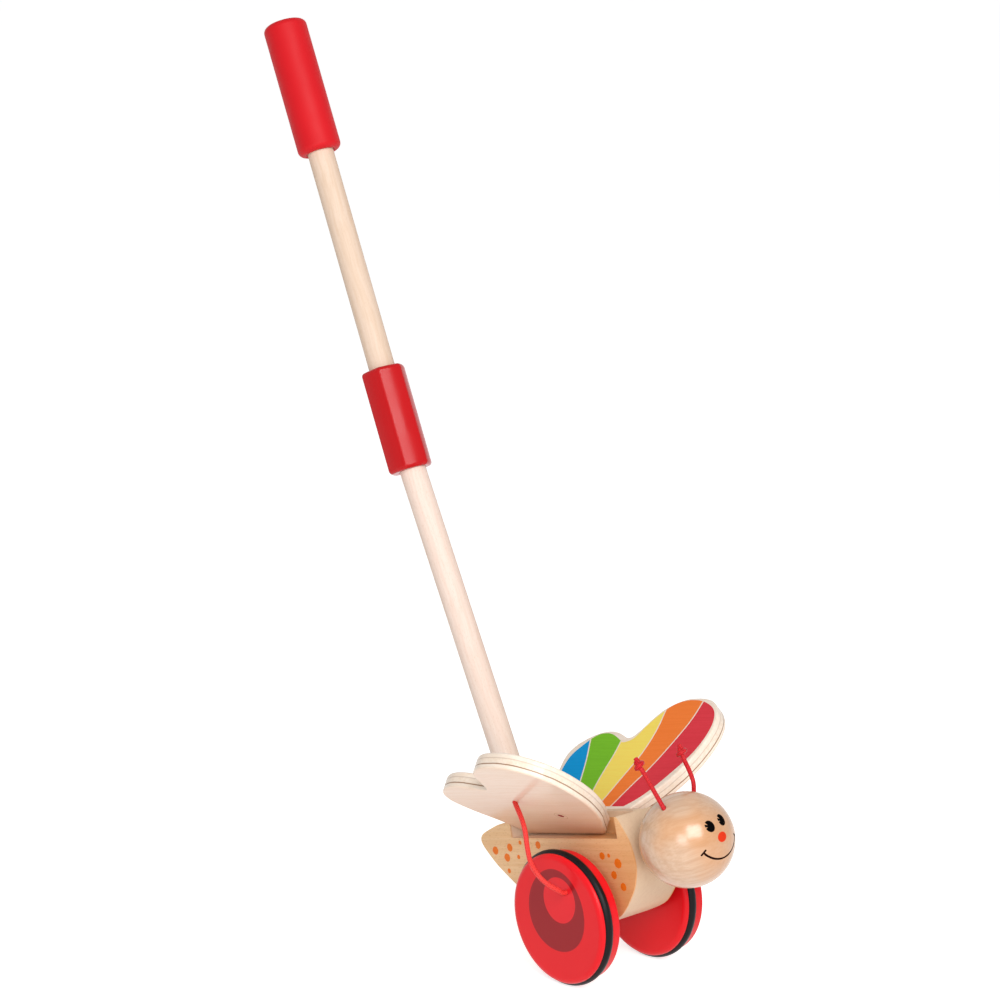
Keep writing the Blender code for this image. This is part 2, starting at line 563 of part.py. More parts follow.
def main():
    """Builds the whole toy."""
    for obj in list(bpy.data.objects):
        bpy.data.objects.remove(obj)
    beech = material("varnished_beech", (0.72, 0.42, 0.20), 0.35)
    maple = material("varnished_maple", (0.80, 0.50, 0.30), 0.22)
    birch = material("birch_plywood", (0.86, 0.70, 0.52), 0.45)
    dowel = material("pale_dowel", (0.88, 0.74, 0.56), 0.55)
    lacquer = material("red_lacquer", (0.78, 0.03, 0.04), 0.30)
    rubber = material("black_rubber", (0.03, 0.025, 0.03), 0.60)
    plastic = material("red_plastic", (0.70, 0.01, 0.02), 0.15)
    paint = material("red_grip_paint", (0.76, 0.02, 0.03), 0.50)
    elastic = material("red_cord", (0.75, 0.05, 0.05), 0.60)
    steel = material("axle_steel", (0.60, 0.60, 0.60), 0.30, 1.0)
    nylon = material("white_nylon", (0.85, 0.85, 0.82), 0.40)
    axle_height = (0, 0, TYRE_RADIUS)
    toy = frame("toy_frame", None, axle_height, -BODY_PITCH, "Y")
    wheelset = frame("wheelset_frame", None, axle_height)
    build_body(toy, beech)
    build_head(toy, maple, dowel, elastic)
    build_handle(toy, dowel, plastic, paint)
    build_wheels(wheelset, lacquer, rubber, steel, nylon, elastic)
    build_wings(toy, birch, elastic)


main()
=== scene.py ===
"""Looks of the wooden butterfly push toy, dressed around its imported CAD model.

Everything is in metres in the model's own frame: +X is the toy's nose, +Y its left side, +Z up, and the origin
lies on the floor under the axle. Most pieces are drawn in the toy's frame, which has its origin at the axle and
is tipped nose-up. Each wing is drawn lying flat, in the frame of its own hinge.
"""

import functools
import logging
from collections.abc import Callable, Sequence
from dataclasses import dataclass, field, replace
from enum import Enum
from math import acos, cos, pi, radians, sin, sqrt, tau

import bmesh
import bpy
from bmesh.types import BMesh, BMFace
from bpy.types import Material, Mesh, Node, NodeTree, Object
from bpy.types import NodeSocket as Socket
from mathutils import Matrix, Vector
from mathutils.geometry import delaunay_2d_cdt


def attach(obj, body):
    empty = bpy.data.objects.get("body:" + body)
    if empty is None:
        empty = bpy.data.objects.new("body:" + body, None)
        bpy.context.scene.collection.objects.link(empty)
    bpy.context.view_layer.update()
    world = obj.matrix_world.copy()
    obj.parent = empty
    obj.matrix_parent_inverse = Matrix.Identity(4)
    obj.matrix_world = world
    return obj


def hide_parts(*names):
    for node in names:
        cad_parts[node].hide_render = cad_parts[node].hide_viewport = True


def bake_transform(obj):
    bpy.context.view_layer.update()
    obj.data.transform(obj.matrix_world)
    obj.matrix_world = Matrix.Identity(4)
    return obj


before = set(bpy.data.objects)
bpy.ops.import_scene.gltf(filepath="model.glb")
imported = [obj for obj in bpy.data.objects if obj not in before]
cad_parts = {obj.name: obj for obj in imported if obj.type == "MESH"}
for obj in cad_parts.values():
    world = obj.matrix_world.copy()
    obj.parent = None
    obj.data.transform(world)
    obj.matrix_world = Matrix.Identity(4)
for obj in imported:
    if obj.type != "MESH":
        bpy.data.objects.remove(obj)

LOG = logging.getLogger("push_toy")
Colour = tuple[float, float, float, float]
Profile = list[tuple[float, float]]
Ways = dict[str | int, object]
Sockets = bpy.types.bpy_prop_collection

# Shared clearances, edges and counts
GAP = 0.0003
OVERRUN = 0.002
ARC_STEPS = 8
BOARD_RIM_STEPS = 4
CURVE_STEPS = 6
TURNED_SEGMENTS = 128
ROD_SEGMENTS = 64
SMALL_SEGMENTS = 24
SHARP_ANGLE = radians(40)
BOARD_SHARP_ANGLE = radians(28)
CORD_SHARP_ANGLE = radians(50)
MILLIMETRE = 0.001

# Where most of a noise's values lie
NOISE_SPAN = (0.3, 0.7)

# Wood grain: how it bends, how late wood darkens a ring, and what shares of the streaks' length and
# width the fibres and the flecks have
GRAIN_BEND_SCALE = 28.0
GRAIN_ROUGHNESS = 0.6
LATE_WOOD_POWER = 3.0
LATE_WOOD_END = 0.9
FIBRE_SIZE = (0.2, 0.16)
FLECK_SIZE = (0.045, 0.4)
FLECK_REACH = (0.34, 0.12)
STREAK_SPAN = (0.34, 0.68)
FIBRE_SPAN = (0.42, 0.8)

# Ink dots: the facets of a dot and the size of the noise that makes their rims uneven
DOT_SEGMENTS = 8
DOT_RINGS = 32
DOT_NOISE_SCALE = 900.0

# The coat's second noise and the cord's slow change of shine
GLOSS_PATCH_SHARE = 2.7
CORD_SHINE_SCALE = 260.0

# Stance of the toy: the axle's height and how far the body is tipped
AXLE_HEIGHT = 0.0367
BODY_PITCH = radians(14.1)
TOY = Matrix.Translation((0, 0, AXLE_HEIGHT)) @ Matrix.Rotation(-BODY_PITCH, 4, "Y")
AXLE = Matrix.Translation((0, 0, AXLE_HEIGHT))
FORWARD = Vector((1, 0, 0))
ACROSS = Vector((0, 1, 0))
UP = Vector((0, 0, 1))


class Side(Enum):
    """The toy's two sides, with the sign of their Y."""

    LEFT = 1
    RIGHT = -1

    @property
    def word(self) -> str:
        """The side's name as the CAD nodes spell it."""
        return self.name.lower()


class Body(Enum):
    """The model's moving bodies."""

    TOY = "toy_body"
    WHEELS = "wheelset"
    LEFT_WING = "left_wing"
    RIGHT_WING = "right_wing"

    @staticmethod
    def wing(side: Side) -> "Body":
        """The wing's body on one side."""
        return Body.LEFT_WING if side is Side.LEFT else Body.RIGHT_WING


def tint(code: str) -> Colour:
    """Turns a colour chart's code into linear light.

    Args:
        code: Six hexadecimal digits after a hash mark.

    Returns:
        The colour with full opacity.
    """
    levels = [int(code[start:start + 2], 16) / 255 for start in (1, 3, 5)]
    red, green, blue = (level / 12.92 if level <= 0.04045 else ((level + 0.055) / 1.055) ** 2.4
                        for level in levels)
    return red, green, blue, 1.0


class Graph:
    """A node tree under construction, with short ways to add and join its nodes."""

    def __init__(self, tree: NodeTree) -> None:
        """Starts work on a tree."""
        self.tree = tree

    def feed(self, node: Node, inputs: Ways) -> None:
        """Sets a node's inputs.

        Args:
            node: The node.
            inputs: Values or sockets for its inputs, by name or number.
        """
        for name, value in inputs.items():
            if isinstance(value, Socket):
                self.tree.links.new(value, node.inputs[name])
            else:
                node.inputs[name].default_value = value

    def add(self, kind: str, inputs: Ways | None = None, **settings: object) -> Node:
        """Adds a node.

        Args:
            kind: Blender's name for the node's type.
            inputs: Values or sockets for its inputs, by name or number.
            **settings: The node's own properties.

        Returns:
            The new node.
        """
        node = self.tree.nodes.new(kind)
        for key, value in settings.items():
            setattr(node, key, value)
        self.feed(node, inputs or {})
        return node

    def math(self, operation: str, *values: object, clamp: bool = False) -> Socket:
        """Adds a Math node and returns its result."""
        node = self.add("ShaderNodeMath", dict(enumerate(values)), operation=operation, use_clamp=clamp)
        return node.outputs[0]

    plus = functools.partialmethod(math, "ADD")
    minus = functools.partialmethod(math, "SUBTRACT")
    times = functools.partialmethod(math, "MULTIPLY")
    over = functools.partialmethod(math, "DIVIDE")

    def vector(self, operation: str, *values: object) -> Socket:
        """Adds a Vector Math node and returns its result."""
        node = self.add("ShaderNodeVectorMath", dict(enumerate(values)), operation=operation)
        return node.outputs["Value" if operation == "LENGTH" else "Vector"]

    def split(self, vector: Socket) -> tuple[Socket, ...]:
        """Parts a vector into its X, Y and Z."""
        return tuple(self.add("ShaderNodeSeparateXYZ", {0: vector}).outputs)

    def join(self, *parts: object) -> Socket:
        """Makes a vector of its X, Y and Z."""
        return self.add("ShaderNodeCombineXYZ", dict(enumerate(parts))).outputs[0]

    def reach(self, first: object, second: object) -> Socket:
        """The length of two parts that stand square to each other."""
        squares = [self.math("POWER", part, 2.0) for part in (first, second)]
        return self.math("SQRT", self.plus(*squares))

    def mix(self, share: object, first: object, second: object) -> Socket:
        """Mixes two colours and returns the result."""
        return self.add("ShaderNodeMix", {0: share, 6: first, 7: second}, data_type="RGBA").outputs[2]

    def remap(self, value: object, low: float, high: float, start: float = 0.0, end: float = 1.0) -> Socket:
        """Maps a value's range softly onto another and returns the result."""
        inputs = {"Value": value, "From Min": low, "From Max": high, "To Min": start, "To Max": end}
        return self.add("ShaderNodeMapRange", inputs, interpolation_type="SMOOTHSTEP").outputs[0]

    def use(self, group: NodeTree, values: Ways) -> Sockets:
        """Places a shader node group with its values or sockets by name, and returns its outputs."""
        return self.add("ShaderNodeGroup", values, node_tree=group).outputs

    def noise(self, vector: object, scale: object, detail: float = 2.0, roughness: float = 0.5,
              output: str | int = 0) -> Socket:
        """Adds a noise texture and returns one of its outputs."""
        inputs = {"Vector": vector, "Scale": scale, "Detail": detail, "Roughness": roughness}
        return self.add("ShaderNodeTexNoise", inputs).outputs[output]


def smooth_points(points: list, steps: int, closed: bool = False) -> list[Vector]:
    """Reads points from a smooth curve that passes through the chosen ones.

    Args:
        points: The chosen points.
        steps: How many points each stretch gets.
        closed: Whether the curve returns to its start.

    Returns:
        The curve's points.
    """
    points = [Vector(point) for point in points]
    count = len(points)
    result = []
    for index in range(count if closed else count - 1):
        if closed:
            before, start, end, after = (points[(index + shift) % count] for shift in (-1, 0, 1, 2))
        else:
            start, end = points[index], points[index + 1]
            before = points[index - 1] if index else start * 2 - end
            after = points[index + 2] if index + 2 < count else end * 2 - start
        for step in range(steps):
            t = step / steps
            result.append((start * 2 + (end - before) * t
                           + (before * 2 - start * 5 + end * 4 - after) * t ** 2
                           + (start * 3 - before - end * 3 + after) * t ** 3) / 2)
    if not closed:
        result.append(points[-1])
    return result


def quarter(radius: float, height: float, across: float, along: float, start_degrees: float,
            steps: int = ARC_STEPS) -> Profile:
    """A turned edge's quarter ellipse about (radius, height), running anticlockwise from an angle."""
    angles = [radians(start_degrees) + pi / 2 * step / steps for step in range(steps + 1)]
    return [(radius + across * cos(angle), height + along * sin(angle)) for angle in angles]


def eased(radius: float, low: float, high: float, edge: float, steps: int = ARC_STEPS) -> Profile:
    """The outer side of a turned piece between two heights, with both of its edges rounded."""
    inside = radius - edge
    return quarter(inside, low + edge, edge, edge, -90, steps) + quarter(inside, high - edge, edge, edge, 0, steps)


def turned(profile: Profile, segments: int, ring: bool = False,
           reach_at: Callable[[float], float] | None = None) -> BMesh:
    """A closed shape turned about Z from (radius, height) points.

    Args:
        profile: The section's points.
        segments: How many facets go round.
        ring: Whether the section closes on itself.
        reach_at: A function of the angle that scales the radius.

    Returns:
        The shape, with its faces pointing out.
    """
    build = bmesh.new()
    loops = []
    for radius, height in profile:
        if radius <= 0:
            loops.append([build.verts.new((0, 0, height))])
            continue
        loop = []
        for step in range(segments):
            angle = tau * step / segments
            reach = radius * reach_at(angle) if reach_at else radius
            loop.append(build.verts.new((reach * cos(angle), reach * sin(angle), height)))
        loops.append(loop)
    pairs = list(zip(loops, loops[1:]))
    if ring:
        pairs.append((loops[-1], loops[0]))
    for low, high in pairs:
        for step in range(segments):
            after = (step + 1) % segments
            corners = [low[step % len(low)], low[after % len(low)],
                       high[after % len(high)], high[step % len(high)]]
            build.faces.new(list(dict.fromkeys(corners)))
    for loop in () if ring else (loops[0], loops[-1]):
        if len(loop) > 1:
            build.faces.new(loop)
    bmesh.ops.recalc_face_normals(build, faces=build.faces)
    return build


def along(way: Vector, place: Vector) -> Matrix:
    """The frame of a turned piece whose foot is at a place and whose own Z runs along a direction."""
    return Matrix.Translation(place) @ UP.rotation_difference(Vector(way)).to_matrix().to_4x4()


def placed(name: str, data: bpy.types.ID) -> Object:
    """Makes an object of a mesh, a lamp or a camera and puts it in the scene.

    Args:
        name: The object's name.
        data: What it shows.

    Returns:
        The object.
    """
    obj = bpy.data.objects.new(name, data)
    bpy.context.scene.collection.objects.link(obj)
    return obj


def solid(name: str, build: BMesh, where: Matrix, finishes: Sequence[Material] = ()) -> Object:
    """Makes an object of a drawn shape.

    Args:
        name: The object's name.
        build: The shape, in the frame it was drawn in.
        where: That frame.
        finishes: Its materials.

    Returns:
        The object, at the origin, with its place in its mesh.
    """
    mesh = bpy.data.meshes.new(name)
    build.to_mesh(mesh)
    build.free()
    mesh.transform(where)
    for finish in finishes:
        mesh.materials.append(finish)
    return placed(name, mesh)


def cutter(profile: Profile, where: Matrix, segments: int = SMALL_SEGMENTS) -> Object:
    """A turned tool for carve(), in the model's frame."""
    return solid("tool", turned(profile, segments), where)


def drill(mouth: Vector, way: Vector, radius: float, depth: float, where: Matrix,
          segments: int = SMALL_SEGMENTS) -> Object:
    """A drill for carve(): it starts outside the surface, at a mouth given in a frame."""
    here = where @ along(Vector(way).normalized(), Vector(mouth))
    return cutter([(radius, -OVERRUN), (radius, depth)], here, segments)


def ball(radius: float, subdivisions: int) -> BMesh:
    """A ball about the origin, of even triangles.

    Args:
        radius: Its radius.
        subdivisions: How often its triangles are halved.

    Returns:
        The shape.
    """
    build = bmesh.new()
    bmesh.ops.create_icosphere(build, subdivisions=subdivisions, radius=radius)
    return build


def ease_edges(build: BMesh, edges: list, width: float, steps: int) -> None:
    """Rounds some of a shape's edges."""
    bmesh.ops.bevel(build, geom=edges, offset=width, segments=steps, profile=0.5, affect="EDGES",
                    clamp_overlap=True)


def settled(obj: Object) -> Mesh:
    """Works an object's modifiers into a plain mesh and takes them off it.

    Args:
        obj: The object to settle.

    Returns:
        Its new mesh.
    """
    bpy.context.view_layer.update()
    graph = bpy.context.evaluated_depsgraph_get()
    mesh = bpy.data.meshes.new_from_object(obj.evaluated_get(graph), preserve_all_data_layers=True,
                                           depsgraph=graph)
    obj.modifiers.clear()
    old = obj.data
    obj.data = mesh
    bpy.data.meshes.remove(old)
    return mesh


def carve(obj: Object, tools: Sequence[Object]) -> None:
    """Takes the tools' shapes out of an object and clears the tools away.

    Args:
        obj: The piece that is cut.
        tools: What cuts it.
    """
    for blade in tools:
        modifier = obj.modifiers.new("cut", "BOOLEAN")
        modifier.operation = "DIFFERENCE"
        modifier.solver = "EXACT"
        modifier.object = blade
    settled(obj)
    for blade in tools:
        bpy.data.meshes.remove(blade.data)


@dataclass
class Piece:
    """A finished piece of the toy: what it is called, what carries it and which CAD nodes it stands for."""

    name: str
    body: Body
    slot: str
    nodes: tuple[str, ...] = ()

    def make(self, build: BMesh, where: Matrix, finishes: Sequence[Material], tools: Sequence[Object] = (),
             angle: float = SHARP_ANGLE) -> None:
        """Makes the whole piece from a drawn shape and fixes it to its body.

        Args:
            build: The shape, in the frame it was drawn in.
            where: That frame.
            finishes: The piece's materials.
            tools: What cuts its holes.
            angle: The turn from which an edge counts as sharp.
        """
        obj = solid(self.name, build, where, finishes)
        if tools:
            carve(obj, tools)
        self.smooth(obj, angle)
        self.ride(obj)

    def sweep(self, points: list[Vector], fatness: list[float], where: Matrix, radius: float, sides: int,
              finish: Material, closed: bool = False) -> Object:
        """Draws a round cord or ring along a line.

        Args:
            points: The line's points in a frame.
            fatness: The share of the radius at each point.
            where: That frame.
            radius: The cord's radius.
            sides: How many facets go round it.
            finish: Its material.
            closed: Whether the line is a loop.

        Returns:
            The object.
        """
        obj = path_object(self.name, points, fatness, where, closed)
        grow(obj, sweep_tree(), {"Radius": radius, "Sides": sides, "Finish": finish})
        return obj

    def smooth(self, obj: Object, angle: float) -> None:
        """Shades a piece smooth between its sharp edges, with its flats kept flat.

        Args:
            obj: The piece's object.
            angle: The turn from which an edge counts as sharp.
        """
        obj.data.shade_smooth()
        obj.data.set_sharp_from_angle(angle=angle)
        modifier = obj.modifiers.new("flats", "WEIGHTED_NORMAL")
        modifier.keep_sharp = True
        settled(obj)

    def label(self, obj: Object) -> None:
        """Hides the CAD nodes that a piece stands for, names its mesh and reports it.

        Args:
            obj: The piece's object.
        """
        if self.nodes:
            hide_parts(*self.nodes)
        obj.data.name = self.name
        LOG.info("%s: %d faces", self.name, len(obj.data.polygons))

    def ride(self, obj: Object) -> None:
        """Fixes a piece to its body."""
        self.label(obj)
        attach(obj, self.body.value)

    def span(self, obj: Object, far: Body, start: Vector, end: Vector) -> None:
        """Hides the nodes that a cord stands for, names its mesh and reports it, and bakes its place into the mesh.
        """
        self.label(obj)
        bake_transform(obj)


def start_group(name: str, kind: str, inputs: dict[str, str | float],
                outputs: dict[str, str]) -> tuple[Graph, Node, Node]:
    """Starts a node group.

    Args:
        name: The group's name.
        kind: Blender's name for the type of its tree.
        inputs: Each input's type, or the first value of a plain number.
        outputs: Each output's type.

    Returns:
        The group's graph, its input node and its output node.
    """
    tree = bpy.data.node_groups.new(name, kind)
    for label, value in inputs.items():
        plain = isinstance(value, float)
        socket_type = "NodeSocket" + ("Float" if plain else value)
        socket = tree.interface.new_socket(label, in_out="INPUT", socket_type=socket_type)
        if plain:
            socket.default_value = value
    for label, value in outputs.items():
        tree.interface.new_socket(label, in_out="OUTPUT", socket_type="NodeSocket" + value)
    graph = Graph(tree)
    return graph, graph.add("NodeGroupInput"), graph.add("NodeGroupOutput")


def geometry_tree(name: str, inputs: dict[str, str]) -> tuple[Graph, Node, Node]:
    """Starts a Geometry Nodes tree that works on an object's own geometry."""
    return start_group(name, "GeometryNodeTree", {"Geometry": "Geometry", **inputs}, {"Geometry": "Geometry"})


def dressed_tree(graph: Graph, start: Node, end: Node, shape: Socket) -> NodeTree:
    """Ends a Geometry Nodes tree with smooth shading, real geometry and the piece's finish.

    Args:
        graph: The tree's graph.
        start: Its input node.
        end: Its output node.
        shape: What it has drawn.

    Returns:
        The tree.
    """
    shaded = graph.add("GeometryNodeSetShadeSmooth", {"Geometry": shape})
    real = graph.add("GeometryNodeRealizeInstances", {"Geometry": shaded.outputs["Geometry"]})
    dressed = graph.add("GeometryNodeSetMaterial",
                        {"Geometry": real.outputs["Geometry"], "Material": start.outputs["Finish"]})
    graph.feed(end, {"Geometry": dressed.outputs["Geometry"]})
    return graph.tree


def grow(obj: Object, tree: NodeTree, values: Ways) -> None:
    """Runs a Geometry Nodes tree on an object and keeps the result as a plain mesh.

    Args:
        obj: The object that holds the path or the places.
        tree: The tree to run.
        values: The tree's inputs by name.
    """
    modifier = obj.modifiers.new("grow", "NODES")
    modifier.node_group = tree
    for item in tree.interface.items_tree:
        if item.in_out == "INPUT" and item.name in values:
            modifier[item.identifier] = values[item.name]
    settled(obj)


@functools.cache
def sweep_tree() -> NodeTree:
    """The tree that draws a round cord or ring along a path, with the place round and along it as an attribute.

    Returns:
        The tree.
    """
    graph, start, end = geometry_tree("sweep", {"Radius": "Float", "Sides": "Int", "Finish": "Material"})
    path = graph.add("GeometryNodeMeshToCurve", {"Mesh": start.outputs["Geometry"]})
    fatness = graph.add("GeometryNodeInputNamedAttribute", {"Name": "fatness"}, data_type="FLOAT")
    length = graph.add("GeometryNodeSplineParameter")
    kept = graph.add("GeometryNodeStoreNamedAttribute",
                     {"Geometry": path.outputs["Curve"], "Name": "cord_along", "Value": length.outputs["Length"]},
                     data_type="FLOAT", domain="POINT")
    circle = graph.add("GeometryNodeCurvePrimitiveCircle",
                       {"Resolution": start.outputs["Sides"], "Radius": start.outputs["Radius"]})
    facing = graph.vector("NORMALIZE", graph.add("GeometryNodeInputPosition").outputs["Position"])
    section = graph.add("GeometryNodeStoreNamedAttribute",
                        {"Geometry": circle.outputs["Curve"], "Name": "cord_round", "Value": facing},
                        data_type="FLOAT_VECTOR", domain="POINT")
    skin = graph.add("GeometryNodeCurveToMesh",
                     {"Curve": kept.outputs["Geometry"], "Profile Curve": section.outputs["Geometry"],
                      "Scale": fatness.outputs["Attribute"], "Fill Caps": True})
    return dressed_tree(graph, start, end, skin.outputs["Mesh"])


def path_object(name: str, points: list[Vector], fatness: list[float], where: Matrix,
                closed: bool = False) -> Object:
    """Makes a line of edges for sweep_tree() to follow, or places for dots_tree().

    Args:
        name: The object's name.
        points: The line's points in a frame.
        fatness: The share of the cord's radius at each point.
        where: That frame.
        closed: Whether the line is a loop.

    Returns:
        The object.
    """
    mesh = bpy.data.meshes.new(name)
    count = len(points)
    edges = [(index, (index + 1) % count) for index in range(count if closed else count - 1)]
    mesh.from_pydata([where @ point for point in points], edges, [])
    mesh.attributes.new("fatness", "FLOAT", "POINT").data.foreach_set("value", fatness)
    return placed(name, mesh)


@functools.cache
def dots_tree() -> NodeTree:
    """The tree that lays thin, slightly uneven ink dots on places, each with its own radius.

    Returns:
        The tree.
    """
    graph, start, end = geometry_tree("ink_dots", {"Height": "Float", "Wobble": "Float", "Seed": "Int",
                                                   "Finish": "Material"})
    radius = graph.add("GeometryNodeInputNamedAttribute", {"Name": "fatness"}, data_type="FLOAT").outputs["Attribute"]
    size = graph.join(radius, start.outputs["Height"], radius)
    blob = graph.add("GeometryNodeMeshUVSphere", {"Segments": DOT_SEGMENTS, "Rings": DOT_RINGS, "Radius": 1.0})
    turned_blob = graph.add("GeometryNodeTransform",
                            {"Geometry": blob.outputs["Mesh"], "Rotation": (pi / 2, 0, 0)})
    dots = graph.add("GeometryNodeInstanceOnPoints",
                     {"Points": start.outputs["Geometry"], "Instance": turned_blob.outputs["Geometry"],
                      "Scale": size})
    real = graph.add("GeometryNodeRealizeInstances", {"Geometry": dots.outputs["Instances"]})
    uneven = graph.add("ShaderNodeTexNoise", {"Scale": DOT_NOISE_SCALE, "Detail": 1.0, "W": start.outputs["Seed"]},
                       noise_dimensions="4D")
    centred = graph.vector("SUBTRACT", uneven.outputs["Color"], (0.5, 0.5, 0.5))
    flat = graph.vector("MULTIPLY", centred, (1, 0, 1))
    shift = graph.add("ShaderNodeVectorMath", {0: flat, "Scale": start.outputs["Wobble"]}, operation="SCALE")
    moved = graph.add("GeometryNodeSetPosition",
                      {"Geometry": real.outputs["Geometry"], "Offset": shift.outputs["Vector"]})
    return dressed_tree(graph, start, end, moved.outputs["Geometry"])


def shader_group(name: str, inputs: dict[str, str | float], outputs: tuple[str, ...]) -> tuple[Graph, Node, Node]:
    """Starts a shader node group whose outputs are all single values."""
    return start_group(name, "ShaderNodeTree", inputs, dict.fromkeys(outputs, "Float"))


@functools.cache
def grain_group() -> NodeTree:
    """Wood grain along X: growth rings about a pith, streaks, fine fibres and ray flecks.

    Returns:
        The group.
    """
    graph, start, end = shader_group(
        "wood_grain",
        {"Vector": "Vector", "Grain Length": 0.05, "Grain Width": 0.0012, "Ring Spacing": 0.0025,
         "Pith Y": 0.02, "Pith Z": -0.04, "Warp": 0.004},
        ("Rings", "Streaks", "Fibres", "Flecks"))
    read = start.outputs
    bent = graph.noise(read["Vector"], GRAIN_BEND_SCALE, output="Color")
    push = graph.vector("SUBTRACT", bent, (0.5, 0.5, 0.5))
    amount = graph.join(0.0, read["Warp"], read["Warp"])
    x, y, z = graph.split(graph.vector("ADD", read["Vector"], graph.vector("MULTIPLY", push, amount)))
    reach = graph.reach(graph.minus(y, read["Pith Y"]), graph.minus(z, read["Pith Z"]))
    turn = graph.math("FRACT", graph.over(reach, read["Ring Spacing"]))
    late = graph.times(graph.math("POWER", turn, LATE_WOOD_POWER), graph.remap(turn, 1.0, LATE_WOOD_END))

    def stretched(length_share: float, width_share: float) -> Socket:
        """The place, squeezed along the grain and spread across it.

        Args:
            length_share: The share of the grain's length.
            width_share: The share of its width.

        Returns:
            The changed place.
        """
        run = graph.over(x, graph.times(read["Grain Length"], length_share))
        wide = graph.times(read["Grain Width"], width_share)
        return graph.join(run, graph.over(y, wide), graph.over(z, wide))

    cells = graph.add("ShaderNodeTexVoronoi", {"Vector": stretched(*FLECK_SIZE), "Scale": 1.0})
    graph.feed(end, {"Rings": late,
                     "Streaks": graph.noise(stretched(1.0, 1.0), 1.0, 3.0, GRAIN_ROUGHNESS),
                     "Fibres": graph.noise(stretched(*FIBRE_SIZE), 1.0, 2.0, GRAIN_ROUGHNESS),
                     "Flecks": graph.remap(cells.outputs["Distance"], *FLECK_REACH)})
    return graph.tree


@functools.cache
def coat_group() -> NodeTree:
    """The small unevenness of a sprayed, dipped or moulded skin: tone, gloss and orange peel.

    Returns:
        The group.
    """
    graph, start, end = shader_group("coat", {"Vector": "Vector", "Tone Size": 0.02, "Peel Size": 0.0012},
                                     ("Tone", "Gloss", "Peel"))
    read = start.outputs
    for name, size, share, detail in (("Tone", "Tone Size", 1.0, 3.0),
                                      ("Gloss", "Tone Size", GLOSS_PATCH_SHARE, 2.0),
                                      ("Peel", "Peel Size", 1.0, 1.0)):
        scale = graph.over(share, read[size])
        graph.feed(end, {name: graph.noise(read["Vector"], scale, detail)})
    return graph.tree


def start_print(name: str, sizes: dict[str, float]) -> tuple[Graph, Node, Sockets, Socket, Socket]:
    """Starts a group that prints a shape seen along Y.

    Args:
        name: The group's name.
        sizes: The shape's sizes, the softness of its edge among them.

    Returns:
        The group's graph, its output node, its inputs, and the place along and up from the shape's own.
    """
    graph, start, end = shader_group(name, {"Vector": "Vector", "At X": 0.0, "At Z": 0.0, **sizes}, ("Mask",))
    read = start.outputs
    x, _, z = graph.split(read["Vector"])
    return graph, end, read, graph.minus(x, read["At X"]), graph.minus(z, read["At Z"])


def end_print(graph: Graph, end: Node, read: Sockets, depth: Socket, *limits: Socket) -> NodeTree:
    """Ends a group that prints a shape.

    Args:
        graph: The group's graph.
        end: Its output node.
        read: Its inputs.
        depth: How far inside the shape a place is.
        *limits: What else limits the print.

    Returns:
        The group.
    """
    mask = graph.plus(graph.over(depth, read["Soft"]), 0.5, clamp=True)
    for limit in limits:
        mask = graph.times(mask, limit)
    graph.feed(end, {"Mask": mask})
    return graph.tree


@functools.cache
def mark_group() -> NodeTree:
    """A printed round or egg-shaped mark. A taper makes its upper end narrower.

    Returns:
        The group.
    """
    sizes = {"Half Width": 0.01, "Half Height": 0.01, "Taper": 0.0, "Soft": 0.02}
    graph, end, read, x, z = start_print("printed_mark", sizes)
    up = graph.over(z, read["Half Height"])
    width = graph.minus(1.0, graph.times(up, read["Taper"]))
    side = graph.over(x, graph.times(read["Half Width"], width))
    return end_print(graph, end, read, graph.minus(1.0, graph.reach(up, side)))


@functools.cache
def stroke_group() -> NodeTree:
    """A straight pen stroke with round ends.

    Returns:
        The group.
    """
    sizes = {"Reach X": 0.001, "Reach Z": 0.001, "Half Width": 0.0004, "Soft": 0.0001}
    graph, end, read, x, z = start_print("pen_stroke", sizes)
    run, rise = read["Reach X"], read["Reach Z"]
    dot = graph.plus(graph.times(x, run), graph.times(z, rise))
    square = graph.plus(graph.math("POWER", run, 2.0), graph.math("POWER", rise, 2.0))
    share = graph.over(dot, square, clamp=True)
    off = [graph.minus(place, graph.times(share, whole)) for place, whole in ((x, run), (z, rise))]
    return end_print(graph, end, read, graph.minus(read["Half Width"], graph.reach(*off)))


@functools.cache
def arc_group() -> NodeTree:
    """The lower arc of a circle drawn with a pen.

    Returns:
        The group.
    """
    sizes = {"Radius": 0.01, "Reach": 0.01, "Half Width": 0.0004, "Soft": 0.0001}
    graph, end, read, x, z = start_print("pen_arc", sizes)
    off = graph.math("ABSOLUTE", graph.minus(graph.reach(x, z), read["Radius"]))
    near = graph.math("LESS_THAN", graph.math("ABSOLUTE", x), read["Reach"])
    depth = graph.minus(read["Half Width"], off)
    return end_print(graph, end, read, depth, near, graph.math("LESS_THAN", z, 0.0))


@functools.cache
def wedge_group() -> NodeTree:
    """A wedge that opens away from a point.

    Returns:
        The group.
    """
    sizes = {"Turn": 0.0, "Slope": 0.4, "Start": 0.0, "Soft": 0.0001}
    graph, end, read, x, z = start_print("wedge", sizes)
    cosine, sine = graph.math("COSINE", read["Turn"]), graph.math("SINE", read["Turn"])
    out = graph.plus(graph.times(x, cosine), graph.times(z, sine))
    side = graph.minus(graph.times(z, cosine), graph.times(x, sine))
    room = graph.times(graph.minus(out, read["Start"]), read["Slope"])
    return end_print(graph, end, read, graph.minus(room, graph.math("ABSOLUTE", side)))


